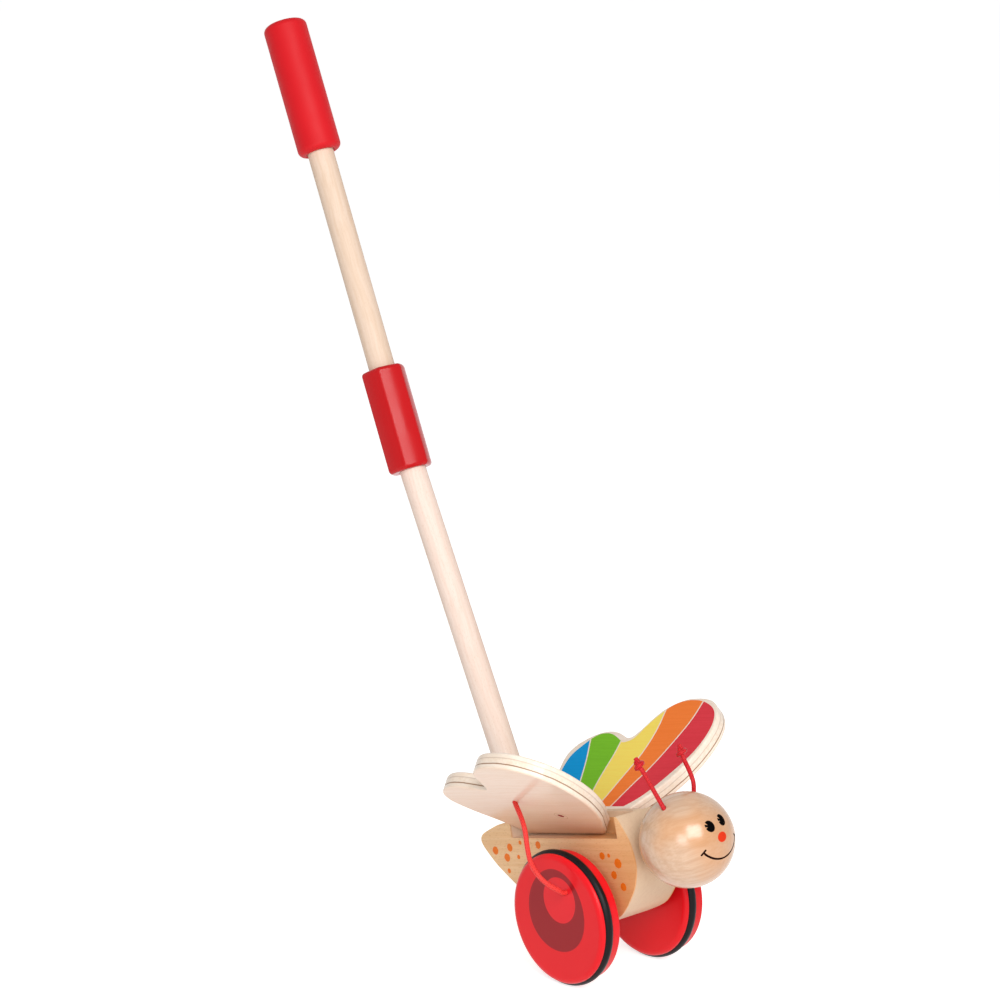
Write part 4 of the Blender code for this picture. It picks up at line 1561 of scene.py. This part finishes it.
@dataclass
class Handle:
    """Two dowel rods, the sleeve that joins them and the grip."""

    rod_radius: float = 0.0075
    rod_edge: float = 0.0008
    lower_length: float = 0.2500
    upper_length: float = 0.2030
    lower_lean: float = radians(13.56)
    upper_lean: float = radians(10.38)
    foot: Vector = field(default_factory=lambda: Vector((-0.0507, 0, 0.0252)))
    end_gap: float = 0.0020
    sleeve_length: float = 0.0595
    sleeve_rise: float = 0.0049
    sleeve_radius: float = 0.0130
    sleeve_edge: float = 0.0022
    sleeve_facets: int = 6
    sleeve_turn: float = radians(11)
    sleeve_segments: int = 144
    sleeve_crispness: float = 60.0
    sleeve_flatness: float = 0.62
    grip_length: float = 0.0780
    grip_radius: float = 0.0125
    grip_edge: float = 0.0035
    grip_seat: float = 0.0400
    grip_mouth_step: float = 0.0007

    @staticmethod
    def lean(angle: float) -> Vector:
        """The direction of a rod that leans back by an angle."""
        return Vector((-sin(angle), 0, cos(angle)))

    def rod(self, length: float) -> BMesh:
        """A rod with rounded ends, standing on its foot."""
        return turned([(0, 0)] + eased(self.rod_radius, 0, length, self.rod_edge) + [(0, length)], ROD_SEGMENTS)

    def make(self) -> None:
        """Builds the whole handle."""
        lower, upper = self.lean(self.lower_lean), self.lean(self.upper_lean)
        kink = self.foot + lower * (self.lower_length + self.end_gap / 2)
        upper_foot = kink + upper * self.end_gap / 2
        for name, node, wood, length, foot, way in (
                ("dowel_lower", "lower_rod", DOWEL, self.lower_length, self.foot, lower),
                ("dowel_upper", "upper_rod", UPPER_DOWEL, self.upper_length, upper_foot, upper)):
            here = TOY @ along(way, foot)
            grain = here @ Matrix.Rotation(-pi / 2, 4, "Y")
            Piece(name, Body.TOY, "pale_dowel", (node,)).make(self.rod(length), here, [wood.material(grain)])
        self.make_sleeve(kink, lower, upper)
        self.make_grip(upper_foot + upper * (self.upper_length - self.grip_seat), upper)

    def facet(self, angle: float) -> float:
        """How far the sleeve's soft, slightly crowned hexagon reaches.

        Args:
            angle: The angle round the sleeve.

        Returns:
            The reach as a share of the sleeve's radius.
        """
        step = tau / self.sleeve_facets
        faces = (cos(angle - self.sleeve_turn - step * (index + 0.5)) for index in range(self.sleeve_facets))
        total = sum(max(0.0, face) ** self.sleeve_crispness for face in faces)
        ridge = 2 * cos(step / 2) ** self.sleeve_crispness
        return 1 - self.sleeve_flatness * (1 - (ridge / total) ** (1 / self.sleeve_crispness))

    def make_sleeve(self, kink: Vector, lower: Vector, upper: Vector) -> None:
        """Builds the moulded sleeve with a bore for each rod.

        Args:
            kink: Where the rods' ends meet.
            lower: The lower rod's direction.
            upper: The upper rod's direction.
        """
        half, bore = self.sleeve_length / 2, self.rod_radius + GAP
        shape = turned(eased(self.sleeve_radius, -half, half, self.sleeve_edge), self.sleeve_segments,
                       reach_at=self.facet)
        tools = [cutter([(bore, 0), (bore, run + OVERRUN)], TOY @ along(way, kink), ROD_SEGMENTS)
                 for way, run in ((upper, half + self.sleeve_rise), (-lower, half - self.sleeve_rise))]
        piece = Piece("joining_sleeve", Body.TOY, "red_plastic", ("coupling_sleeve",))
        piece.make(shape, TOY @ along(upper, kink + upper * self.sleeve_rise), [SLEEVE_RED.material()], tools)

    def make_grip(self, foot: Vector, way: Vector) -> None:
        """Builds the turned grip.

        Args:
            foot: The middle of its lower end.
            way: Its axis.
        """
        bore, end, step = self.rod_radius + GAP, self.grip_seat + GAP, self.grip_mouth_step
        profile = [(0, end), (bore, end), (bore, step), (bore + step, 0)]
        profile += eased(self.grip_radius, 0, self.grip_length, self.grip_edge) + [(0, self.grip_length)]
        piece = Piece("turned_grip", Body.TOY, "red_grip_paint", ("grip",))
        piece.make(turned(profile, ROD_SEGMENTS), TOY @ along(way, foot), [GRIP_RED.material()])


@dataclass
class Wheels:
    """Two grooved wheels with rubber rings, which face the same way on the axle."""

    radius: float = 0.0350
    width: float = 0.0130
    front_edge: float = 0.0034
    front_edge_depth: float = 0.0022
    back_edge: float = 0.0010
    inner_y: float = 0.0242
    tyre_radius: float = 0.0367
    tyre_section: float = 0.0025
    tyre_sides: int = 24
    tyre_from_front: float = 0.0050
    crank_radius: float = 0.0185
    crank_angle: float = radians(67.4)
    seat_depth: float = 0.0090
    bore: float = 0.0033
    cord_bore: float = 0.00155
    spacer_radius: float = 0.0065
    spacer_edge: float = 0.0004
    spacer_edge_steps: int = 3
    spacer_y: tuple = (0.0173, 0.0239)
    egg: tuple = (-0.0003, 0.0051, 0.0214, 0.0223, 0.07)     # centre, half sizes and taper
    disc: tuple = (0.0019, 0.0112, 0.0122, 0.0124, 0.0)

    @property
    def outer_y(self) -> float:
        """The distance of a wheel's outer face from the toy's middle."""
        return self.inner_y + self.width

    @property
    def ring(self) -> float:
        """The distance of the rubber's own middle line from the axle."""
        return self.tyre_radius - self.tyre_section

    def crank(self) -> Vector:
        """The cord's hole, from the axle."""
        return Vector((cos(self.crank_angle), 0, sin(self.crank_angle))) * self.crank_radius

    def profile(self) -> Profile:
        """Half a wheel's section from its front face.

        Returns:
            Points of (radius, height).
        """
        groove = self.tyre_section + GAP
        opening = acos((self.radius - self.ring) / groove)
        half_mouth = groove * sin(opening)
        profile = [(0, 0)]
        profile += quarter(self.radius - self.front_edge, self.front_edge_depth, self.front_edge,
                           self.front_edge_depth, -90)
        profile.append((self.radius, self.tyre_from_front - half_mouth))
        turns = ARC_STEPS * 2
        for step in range(1, turns):
            angle = -opening - (tau - 2 * opening) * step / turns
            profile.append((self.ring + groove * cos(angle), self.tyre_from_front + groove * sin(angle)))
        profile.append((self.radius, self.tyre_from_front + half_mouth))
        profile += quarter(self.radius - self.back_edge, self.width - self.back_edge, self.back_edge,
                           self.back_edge, 0)
        return profile + [(0, self.width)]

    def make(self) -> None:
        """Builds both wheels, their rubber rings and the spacers."""
        rubber = BLACK_RUBBER.material()
        lacquer = WHEEL_RED.material(self.print_marks)
        angles = [tau * step / TURNED_SEGMENTS for step in range(TURNED_SEGMENTS)]
        path = [Vector((self.ring * cos(angle), self.ring * sin(angle), self.tyre_from_front))
                for angle in angles]
        for side in Side:
            here = AXLE @ along(ACROSS, ACROSS * (self.inner_y if side is Side.LEFT else -self.outer_y))
            inner, outward = ACROSS * side.value * self.inner_y, ACROSS * side.value
            tools = [drill(inner, outward, self.bore, self.seat_depth, AXLE),
                     drill(inner + self.crank(), outward, self.cord_bore, self.width + OVERRUN, AXLE)]
            piece = Piece("turned_wheel_" + side.word, Body.WHEELS, "red_lacquer", ("wheel_" + side.word,))
            piece.make(turned(self.profile(), TURNED_SEGMENTS), here, [lacquer], tools)
            piece = Piece("rubber_ring_" + side.word, Body.WHEELS, "black_rubber", ("tyre_" + side.word,))
            piece.ride(piece.sweep(path, [1.0] * len(path), here, self.tyre_section, self.tyre_sides, rubber,
                                   closed=True))
        self.make_spacers()

    def make_spacers(self) -> None:
        """Builds the spacers between the body and the wheels."""
        finish = NYLON.material()
        start, end = self.spacer_y
        length = end - start
        profile = [(self.bore, length), (self.bore, 0)]
        profile += eased(self.spacer_radius, 0, length, self.spacer_edge, self.spacer_edge_steps)
        for side in Side:
            piece = Piece("spacer_" + side.word, Body.WHEELS, "white_nylon", ("axle_spacer_" + side.word,))
            outward = ACROSS * side.value
            piece.make(turned(profile, ROD_SEGMENTS, ring=True), AXLE @ along(outward, outward * start), [finish])

    def print_marks(self, graph: Graph, colour: Socket) -> Socket:
        """Prints the egg and the disc on the wheels' outer faces.

        Args:
            graph: The lacquer's graph.
            colour: The lacquer's colour.

        Returns:
            The colour with the marks on it.
        """
        place = local(graph, AXLE)
        outside = graph.math("GREATER_THAN", graph.math("ABSOLUTE", graph.split(place)[1]), self.outer_y - GAP)
        for shape, shade in ((self.egg, EGG_RED), (self.disc, DISC_RED)):
            x, z, half_width, half_height, taper = shape
            mark = graph.use(mark_group(), {"Vector": place, "At X": x, "At Z": z, "Taper": taper,
                                            "Half Width": half_width, "Half Height": half_height})["Mask"]
            colour = graph.mix(graph.times(mark, outside), colour, shade)
        return colour


class Band(Enum):
    """The printed bands of a wing, from the tail forwards, and the bare wood between them."""

    BARE = 0
    BLUE = 1
    GREEN = 2
    YELLOW = 3
    ORANGE = 4
    RED = 5


@dataclass
class Wings:
    """The plywood wings with their five printed bands, each drawn flat in the frame of its own hinge."""

    length: float = 0.1062
    span: float = 0.0880
    thickness: float = 0.0090
    rear_x: float = -0.0612
    rest_angle: float = radians(35)
    hinge_y: float = 0.0080037
    hinge_z: float = 0.0393
    rim: float = 0.0012
    band_gap: float = 0.0009
    drive_hole_x: float = -0.0095
    drive_hole_out: float = 0.0443
    drive_hole_depth: float = 0.0060
    tie_x: float = 0.0068
    tie_reach: float = 0.0270
    access_out: float = 0.0250
    access_radius: float = 0.0020
    plug_radius: float = 0.0037
    plug_line: float = 0.0004
    plug_share: float = 0.6
    root_shade_reach: float = 0.064              # how far out from the hinge the painted warm shade near the root goes
    root_shade_shares: tuple = (0.20, 0.68)      # how strong that painted shade is out there, and at the hinge
    print_edge_steps: int = 4
    print_weld: float = 0.0005             # how near, in millimetres, two points of the print become one
    outline_shares: tuple = (
        (0.722, 0.000), (0.748, 0.024), (0.816, 0.125), (0.878, 0.216), (0.934, 0.330), (0.972, 0.438),
        (0.993, 0.545), (1.000, 0.648), (0.993, 0.739), (0.967, 0.830), (0.925, 0.898), (0.868, 0.960),
        (0.802, 0.991), (0.727, 1.000), (0.652, 0.994), (0.586, 0.960), (0.529, 0.909), (0.492, 0.841),
        (0.463, 0.761), (0.430, 0.693), (0.393, 0.674), (0.336, 0.702), (0.266, 0.731), (0.190, 0.733),
        (0.124, 0.708), (0.068, 0.667), (0.025, 0.614), (0.002, 0.540), (0.007, 0.466), (0.027, 0.386),
        (0.054, 0.312), (0.087, 0.239), (0.115, 0.159), (0.134, 0.080), (0.143, 0.000),
    )
    print_edge: tuple = (      # along the toy and out from the hinge, in millimetres
        (2.6, 7.3), (-44, 7.3), (-46.5, 14.5), (-49.5, 21.5), (-53, 28), (-55.8, 34.8), (-56.5, 45.5),
        (-53.3, 52.3), (-48.4, 59.2), (-44, 62.1), (-37.8, 62.7), (-31.5, 61), (-23.7, 56.9), (-20.8, 55.3),
        (-15.4, 56.7), (-12.4, 60.4), (-10.1, 67.2), (-7.2, 73.2), (-3.7, 78.4), (1.4, 83.6), (9.5, 86.1),
        (17.4, 86), (24.5, 84.2), (31.6, 80.8), (36.3, 77), (39.8, 72), (42.2, 65), (42.8, 55.2), (41.2, 46),
        (37.6, 37), (33.2, 28.8), (28.4, 20.5), (22.3, 13), (15.5, 7.6), (14.2, 7.3),
    )
    dividers: tuple = (        # blue to green, green to yellow, yellow to orange and orange to red
        ((-25.5, 2), (-28, 12), (-34, 26.9), (-41.1, 42.9), (-48.9, 57.6), (-53, 66)),
        ((-14, 2), (-15, 7), (-18.1, 20), (-19.8, 31.9), (-20.9, 45.5), (-22.8, 56.9), (-24, 64)),
        ((-7.5, 2), (-6.5, 6), (-4.5, 12.5), (-1.8, 27.2), (1.2, 45), (0.7, 62.3), (-2.9, 78.4), (-6, 88)),
        ((1.5, 2), (3.5, 6), (5.2, 8.1), (10.1, 21.9), (15.7, 35.8), (19.8, 52), (22.9, 69.9), (22.5, 85),
         (22, 90)),
    )

    @property
    def middle_up(self) -> float:
        """The height of the board's middle over its lower face."""
        return self.thickness / 2

    def frame(self, side: Side) -> Matrix:
        """The frame of a wing's hinge, in which its lower face is the XY plane."""
        hinge = Matrix.Translation((0, side.value * self.hinge_y, self.hinge_z))
        return TOY @ hinge @ Matrix.Rotation(side.value * self.rest_angle, 4, "X")

    def place(self, side: Side, x: float, out: float, up: float) -> Vector:
        """A place on a wing at rest, in the toy's frame."""
        return TOY.inverted() @ self.frame(side) @ Vector((x, side.value * out, up))

    def outline(self) -> list[Vector]:
        """The wing's edge from its front root round to its rear root."""
        shares = smooth_points([(*share, 0) for share in self.outline_shares], CURVE_STEPS)
        return [Vector((self.rear_x + self.length * share.x, self.span * share.y, 0)) for share in shares]

    @staticmethod
    def drawn(line: tuple, steps: int, closed: bool = False) -> list[Vector]:
        """A smooth line through points that are written in millimetres."""
        return smooth_points([(x * MILLIMETRE, y * MILLIMETRE, 0) for x, y in line], steps, closed)

    def band_at(self, place: Vector, edge: list[Vector], lines: list[list[Vector]]) -> Band:
        """Tells which band covers a place.

        Args:
            place: The place on the wing's upper face.
            edge: The print's outer edge.
            lines: The middle lines between the bands.

        Returns:
            The band, or bare wood.
        """
        inside = False
        for start, end in zip(edge, edge[1:] + edge[:1]):
            if (start.y > place.y) != (end.y > place.y):
                cross = start.x + (end.x - start.x) * (place.y - start.y) / (end.y - start.y)
                inside ^= cross > place.x
        if not inside:
            return Band.BARE
        passed = 0
        for line in lines:
            start, end = next((pair for pair in zip(line, line[1:]) if pair[1].y >= place.y), line[-2:])
            share = (place.y - start.y) / (end.y - start.y)
            reach = (place.x - start.lerp(end, share).x) * (end - start).normalized().y
            if abs(reach) < self.band_gap / 2:
                return Band.BARE
            passed += reach > 0
        return Band(passed + 1)

    def shape(self, side: Side) -> BMesh:
        """The board with its rounded rims and its upper face parted into bands.

        Args:
            side: The wing's side.

        Returns:
            The shape.
        """
        outline = self.outline()
        build = bmesh.new()
        turn = Vector((1, side.value, 1))
        low, high = ([build.verts.new((point + UP * up) * turn) for point in outline] for up in (0, self.thickness))
        rims = list(build.faces.new(low).edges) + list(build.faces.new(high).edges)
        for index in range(len(outline)):
            after = (index + 1) % len(outline)
            build.faces.new([low[index], low[after], high[after], high[index]])
        bmesh.ops.recalc_face_normals(build, faces=build.faces)
        ease_edges(build, rims, self.rim, BOARD_RIM_STEPS)
        for face in build.faces:
            face.material_index = Band.BARE.value
        self.part_bands(build, max(build.faces, key=lambda face: face.calc_center_median().z), turn)
        bmesh.ops.recalc_face_normals(build, faces=build.faces)
        return build

    def material(self, side: Side) -> Material:
        """The varnished plywood: its lower face has painted warm shade and bounce light towards its root, and shows
        the ring of a small plug.

        Args:
            side: The wing's side.

        Returns:
            The material.
        """
        material, graph, shader = start_material(BIRCH_PLY.name)
        place = local(graph, self.frame(side))
        colour, height = BIRCH_PLY.paint(graph, place)
        _, out, up = graph.split(place)
        middle = (self.tie_x, side.value * self.access_out, 0)
        reach = graph.minus(graph.vector("LENGTH", graph.vector("SUBTRACT", place, middle)),
                           self.plug_radius)
        # Painted shade: warm bounce and shade on the lower face near the root, next to the body
        root = graph.remap(graph.math("ABSOLUTE", out), self.root_shade_reach, 0.0, *self.root_shade_shares)
        ring = graph.remap(graph.math("ABSOLUTE", reach), self.plug_line, 0.0, 0.0, self.plug_share)
        below = graph.remap(up, self.rim, 0.0)
        for mask, shade in ((root, ROOT_PAINTED_SHADE), (ring, PLUG_LINE)):
            colour = graph.mix(graph.times(mask, below), colour, shade)
        BIRCH_PLY.varnish(graph, shader, colour, height)
        return material

    def part_bands(self, build: BMesh, top: BMFace, turn: Vector) -> None:
        """Parts the upper face along the edges of the print.

        Args:
            build: The board.
            top: Its upper face.
            turn: The signs that lay the left wing's drawing over this wing.
        """
        ring = list(top.verts)
        edge = self.drawn(self.print_edge, self.print_edge_steps, closed=True)
        lines = [self.drawn(line, ARC_STEPS) for line in self.dividers]
        points = [(vert.co * turn).xy / MILLIMETRE for vert in ring]
        edges = [(index, (index + 1) % len(ring)) for index in range(len(ring))]
        strokes = [edge + edge[:1]]
        for line in lines:
            ways = [(line[min(index + 1, len(line) - 1)] - line[max(index - 1, 0)]).normalized()
                    for index in range(len(line))]
            for shift in (-self.band_gap / 2, self.band_gap / 2):
                strokes.append([point + UP.cross(way) * shift for point, way in zip(line, ways)])
        limit = max(point.y for point in edge)
        for stroke in strokes:
            first = len(points)
            points += [point.xy / MILLIMETRE for point in stroke if self.rim < point.y < limit]
            edges += [(index, index + 1) for index in range(first, len(points) - 1)]
        spots, _, faces, origins, _, _ = delaunay_2d_cdt(points, edges, [], 1, self.print_weld)
        build.faces.remove(top)
        verts = []
        for spot, origin in zip(spots, origins):
            known = [index for index in origin if index < len(ring)]
            place = Vector((spot.x * MILLIMETRE, spot.y * MILLIMETRE, self.thickness)) * turn
            verts.append(ring[known[0]] if known else build.verts.new(place))
        for corners in faces:
            middle = sum((verts[index].co * turn for index in corners), Vector()) / len(corners)
            face = build.faces.new([verts[index] for index in corners])
            face.material_index = self.band_at(middle, edge, lines).value

    def make(self, cords: "Cords") -> None:
        """Builds both wings.

        Args:
            cords: The cords that go into their holes.
        """
        for side in Side:
            where, out = self.frame(side), side.value
            finishes = [self.material(side)] + [ink.material(where) for ink in BAND_INKS]
            tools = [
                drill((self.drive_hole_x, out * self.drive_hole_out, 0), UP, cords.hole_radius,
                      self.drive_hole_depth, where),
                drill((self.tie_x, 0, self.middle_up), ACROSS * out, cords.hole_radius, self.tie_reach + GAP, where),
                drill((self.tie_x, out * self.access_out, 0), UP, self.access_radius, self.middle_up, where),
            ]
            piece = Piece("wing_board_" + side.word, Body.wing(side), "birch_plywood", ("wing_" + side.word,))
            piece.make(self.shape(side), where, finishes, tools, BOARD_SHARP_ANGLE)


@dataclass
class Cords:
    """The cords that flap the wings and the cord that ties them to the body."""

    radius: float = 0.00135
    sides: int = 20
    hole_radius: float = 0.00155
    wing_straight: float = 0.0004
    straight: float = 0.0020
    crank_seat: float = 0.0060
    knot_inside: float = 0.0045
    knot_scale: float = 0.00082
    knot_fat_share: float = 0.72
    drive_split: int = 5
    tie_z: float = 0.0420
    tie_shares: tuple = (0.0, 0.12, 0.35, 0.67, 1.0)
    tie_knot_radius: float = 0.0019
    tie_knot_recess: float = 0.0001
    drive_route: tuple = (     # the toy's frame, left-hand cord, from the wing down to the wheel
        (0.0000, 0.0497, 0.0566), (0.0032, 0.0515, 0.0507), (0.0042, 0.0526, 0.0430), (0.0043, 0.0523, 0.0352),
        (0.0051, 0.0508, 0.0295), (0.0075, 0.0485, 0.0238), (0.0098, 0.0454, 0.0198), (0.0112, 0.0422, 0.0170),
    )

    def make(self, wings: Wings, wheels: Wheels, web: float) -> None:
        """Builds all the cords and their knots.

        Args:
            wings: The wings they hold.
            wheels: The wheels they are turned by.
            web: The thickness of the body between its notches.
        """
        finish, dark = DRIVE_CORD_RED.material(), TIE_CORD_RED.material()
        for side in Side:
            self.make_drive(side, wings, wheels, finish)
            self.make_tie(side, wings, web, dark)

    def draw(self, piece: Piece, points: list[Vector], finish: Material, fatness: list[float] | None = None,
             radius: float | None = None) -> Object:
        """Draws a stretch of cord in the toy's frame.

        Args:
            piece: The piece that it makes.
            points: Its line.
            finish: Its material.
            fatness: The share of its thickness at each point, where that changes.
            radius: Its radius, where that isn't the cord's own.

        Returns:
            The piece's object.
        """
        obj = piece.sweep(points, fatness or [1.0] * len(points), TOY, radius or self.radius, self.sides, finish)
        piece.smooth(obj, CORD_SHARP_ANGLE)
        return obj

    def make_drive(self, side: Side, wings: Wings, wheels: Wheels, finish: Material) -> None:
        """Builds one drive cord in two halves, and the knot that holds it on the wheel's inner face.

        Args:
            side: The cord's side.
            wings: The wings it holds.
            wheels: The wheels that pull it.
            finish: Its material.
        """
        x, out = wings.drive_hole_x, wings.drive_hole_out
        seat = wings.place(side, x, out, wings.drive_hole_depth - GAP)
        mouth = wings.place(side, x, out, -self.wing_straight)
        route = [Vector((x, side.value * y, z)) for x, y, z in self.drive_route]
        crank = TOY.inverted() @ AXLE @ wheels.crank()
        outward = ACROSS * side.value
        outside = crank + outward * (wheels.outer_y + self.straight)
        end = crank + outward * (wheels.outer_y - self.crank_seat)
        line = smooth_points([mouth, *route, outside], ARC_STEPS)
        split = self.drive_split * ARC_STEPS
        name = "drive_cord_"
        for half, near, far, stretch, start, stop in (
                ("upper_", Body.wing(side), Body.TOY, [seat] + line[:split + 1], mouth, line[split]),
                ("lower_", Body.TOY, Body.WHEELS, line[split:] + [end], line[split], outside)):
            piece = Piece(name + half + side.word, near, "red_cord", (name + side.word,))
            piece.span(self.draw(piece, stretch, finish), far, TOY @ start, TOY @ stop)
        knot = Knot(scale=self.knot_scale, fat_share=self.knot_fat_share)
        middle = crank + outward * (wheels.inner_y - self.knot_inside / 2)
        wound = knot.points(middle, -outward, FORWARD)
        piece = Piece("inner_knot_" + side.word, Body.WHEELS, "red_cord", ("cord_knot_" + side.word,))
        piece.ride(self.draw(piece, [end, *wound], finish, [1.0] + knot.fatness(len(wound))))

    def make_tie(self, side: Side, wings: Wings, web: float, finish: Material) -> None:
        """Builds half of the cord that ties the wings to the body, and the knot at its end.

        Args:
            side: The wing's side.
            wings: The wings it holds.
            web: The thickness of the body between its notches.
            finish: Its material.
        """
        x = wings.tie_x
        inside = Vector((x, 0, self.tie_z))
        bore = Vector((x, side.value * web / 2, self.tie_z))
        held = [wings.place(side, x, wings.tie_reach * share, wings.middle_up) for share in self.tie_shares]
        piece = Piece("tie_cord_" + side.word, Body.TOY, "red_cord", ("wing_tie_cord",))
        obj = self.draw(piece, smooth_points([inside, bore, *held], CURVE_STEPS), finish)
        piece.span(obj, Body.wing(side), TOY @ bore, TOY @ held[1])
        low, high = (wings.place(side, x, wings.access_out, up)
                     for up in (self.tie_knot_recess, wings.middle_up - self.radius - GAP))
        shares = [step / ARC_STEPS for step in range(ARC_STEPS + 1)]
        piece = Piece("wing_knot_" + side.word, Body.wing(side), "red_cord", ("tie_knot_" + side.word,))
        piece.ride(self.draw(piece, [low.lerp(high, share) for share in shares], finish,
                             [sqrt(1 - (share - 0.5) ** 2) for share in shares], self.tie_knot_radius))


@dataclass
class Studio:
    """The floor, the lamps and the camera."""

    camera_place: tuple = (1.05246, -1.01460, 0.57725)
    camera_aim: tuple = (-0.08672, 0.00002, 0.24355)
    lens: float = 103.698
    sensor_width: float = 36.0
    far_clip: float = 50.0
    key_way: tuple = (0.80, -0.34, 0.60)
    key_size: tuple = (1.35, 1.1)
    key_power: float = 33.0
    fill_way: tuple = (0.56, -0.78, 0.28)
    fill_size: tuple = (0.9, 0.8)
    fill_power: float = 11.0
    lamp_distance: float = 2.2
    lit: tuple = (-0.06, 0.0, 0.16)
    floor_size: float = 80.0
    floor_glow: float = 0.20
    floor_seen_glow: float = 0.70
    floor_pale: Colour = (0.86, 0.86, 0.86, 1)
    floor_grey: Colour = (0.84, 0.84, 0.84, 1)
    floor_roughness: float = 0.9
    world_level: float = 0.36
    white: Colour = (1, 1, 1, 1)

    def make(self) -> None:
        """Sets up the whole studio."""
        self.make_camera()
        self.make_lamp("key_softbox", self.key_way, self.key_size, self.key_power)
        self.make_lamp("fill_softbox", self.fill_way, self.fill_size, self.fill_power)
        self.make_world()
        self.make_floor()
        bpy.context.scene.view_settings.view_transform = "Standard"

    @staticmethod
    def facing(place: Vector, way: Vector) -> Matrix:
        """The frame of a camera or lamp at a place that looks along a direction."""
        return Matrix.Translation(place) @ way.to_track_quat("-Z", "Y").to_matrix().to_4x4()

    def make_camera(self) -> None:
        """Puts the camera where the photograph was taken from."""
        data = bpy.data.cameras.new("photo_camera")
        data.lens, data.sensor_width, data.clip_end = self.lens, self.sensor_width, self.far_clip
        camera = placed("photo_camera", data)
        camera.matrix_world = self.facing(self.camera_place, Vector(self.camera_aim) - Vector(self.camera_place))
        bpy.context.scene.camera = camera

    def make_lamp(self, name: str, way: tuple, size: tuple, power: float) -> None:
        """Adds a softbox that looks at the toy.

        Args:
            name: The lamp's name.
            way: Where it stands, seen from the toy.
            size: Its width and height.
            power: Its power in watts.
        """
        data = bpy.data.lights.new(name, "AREA")
        data.shape = "RECTANGLE"
        data.size, data.size_y = size
        data.energy = power
        way = Vector(way).normalized()
        placed(name, data).matrix_world = self.facing(Vector(self.lit) + way * self.lamp_distance, -way)

    @staticmethod
    def level(graph: Graph, lit: float, seen: float) -> Socket:
        """A strength for rays that light the toy, and another for rays that show the background.

        Args:
            graph: The graph that uses it.
            lit: The strength for rays that light the toy.
            seen: The strength for rays that show the background: straight, mirrored or through glass.

        Returns:
            The strength.
        """
        rays = graph.add("ShaderNodeLightPath").outputs
        some = graph.plus(rays["Is Camera Ray"], rays["Is Glossy Ray"])
        some = graph.plus(some, rays["Is Transmission Ray"], clamp=True)
        return graph.add("ShaderNodeMapRange", {"Value": some, "To Min": lit, "To Max": seen}).outputs[0]

    def make_world(self) -> None:
        """A white background over an even, softer sky."""
        world = bpy.data.worlds.new("studio")
        world.use_nodes = True
        graph = Graph(world.node_tree)
        graph.feed(world.node_tree.nodes["Background"],
                   {"Color": self.white, "Strength": self.level(graph, self.world_level, 1.0)})
        bpy.context.scene.world = world

    def make_floor(self) -> None:
        """A plain floor that reads as white, with the toy's soft shadow on it."""
        build = bmesh.new()
        bmesh.ops.create_grid(build, x_segments=8, y_segments=8, size=self.floor_size / 2)
        material, graph, shader = start_material("studio_paper")
        place = graph.add("ShaderNodeTexCoord").outputs["Object"]
        tone = graph.remap(graph.noise(place, 2.0), *NOISE_SPAN)
        graph.feed(shader, {"Base Color": graph.mix(tone, self.floor_pale, self.floor_grey),
                            "Roughness": self.floor_roughness, "Specular IOR Level": 0.0,
                            "Emission Color": self.white,
                            "Emission Strength": self.level(graph, self.floor_glow, self.floor_seen_glow)})
        solid("studio_floor", build, Matrix.Identity(4), [material])


def dress_node(node: str, finish: Material) -> None:
    """Gives a CAD node that stays in sight its finish.

    Args:
        node: The node's name.
        finish: Its material.
    """
    obj = bpy.data.objects[node]
    if not obj.material_slots:
        obj.data.materials.append(finish)
    for slot in obj.material_slots:
        slot.material = finish
    LOG.info("%s: kept from the frame", node)


def main() -> None:
    """Builds the toy's looks, one sub-assembly after the other."""
    logging.basicConfig(level=logging.INFO, format="%(message)s")
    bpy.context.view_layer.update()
    Studio().make()
    body, head, feelers, handle, wheels = BodyBlock(), Head(), Feelers(), Handle(), Wheels()
    wings, cords = Wings(), Cords()
    body.make(head, handle, wheels, wings, cords)
    head.make(feelers)
    feelers.make(head)
    handle.make()
    wheels.make()
    wings.make(cords)
    cords.make(wings, wheels, body.web)
    dress_node("head_dowel", DOWEL.material(TOY))
    dress_node("axle", STEEL.material())


if __name__ == "__main__":
    main()
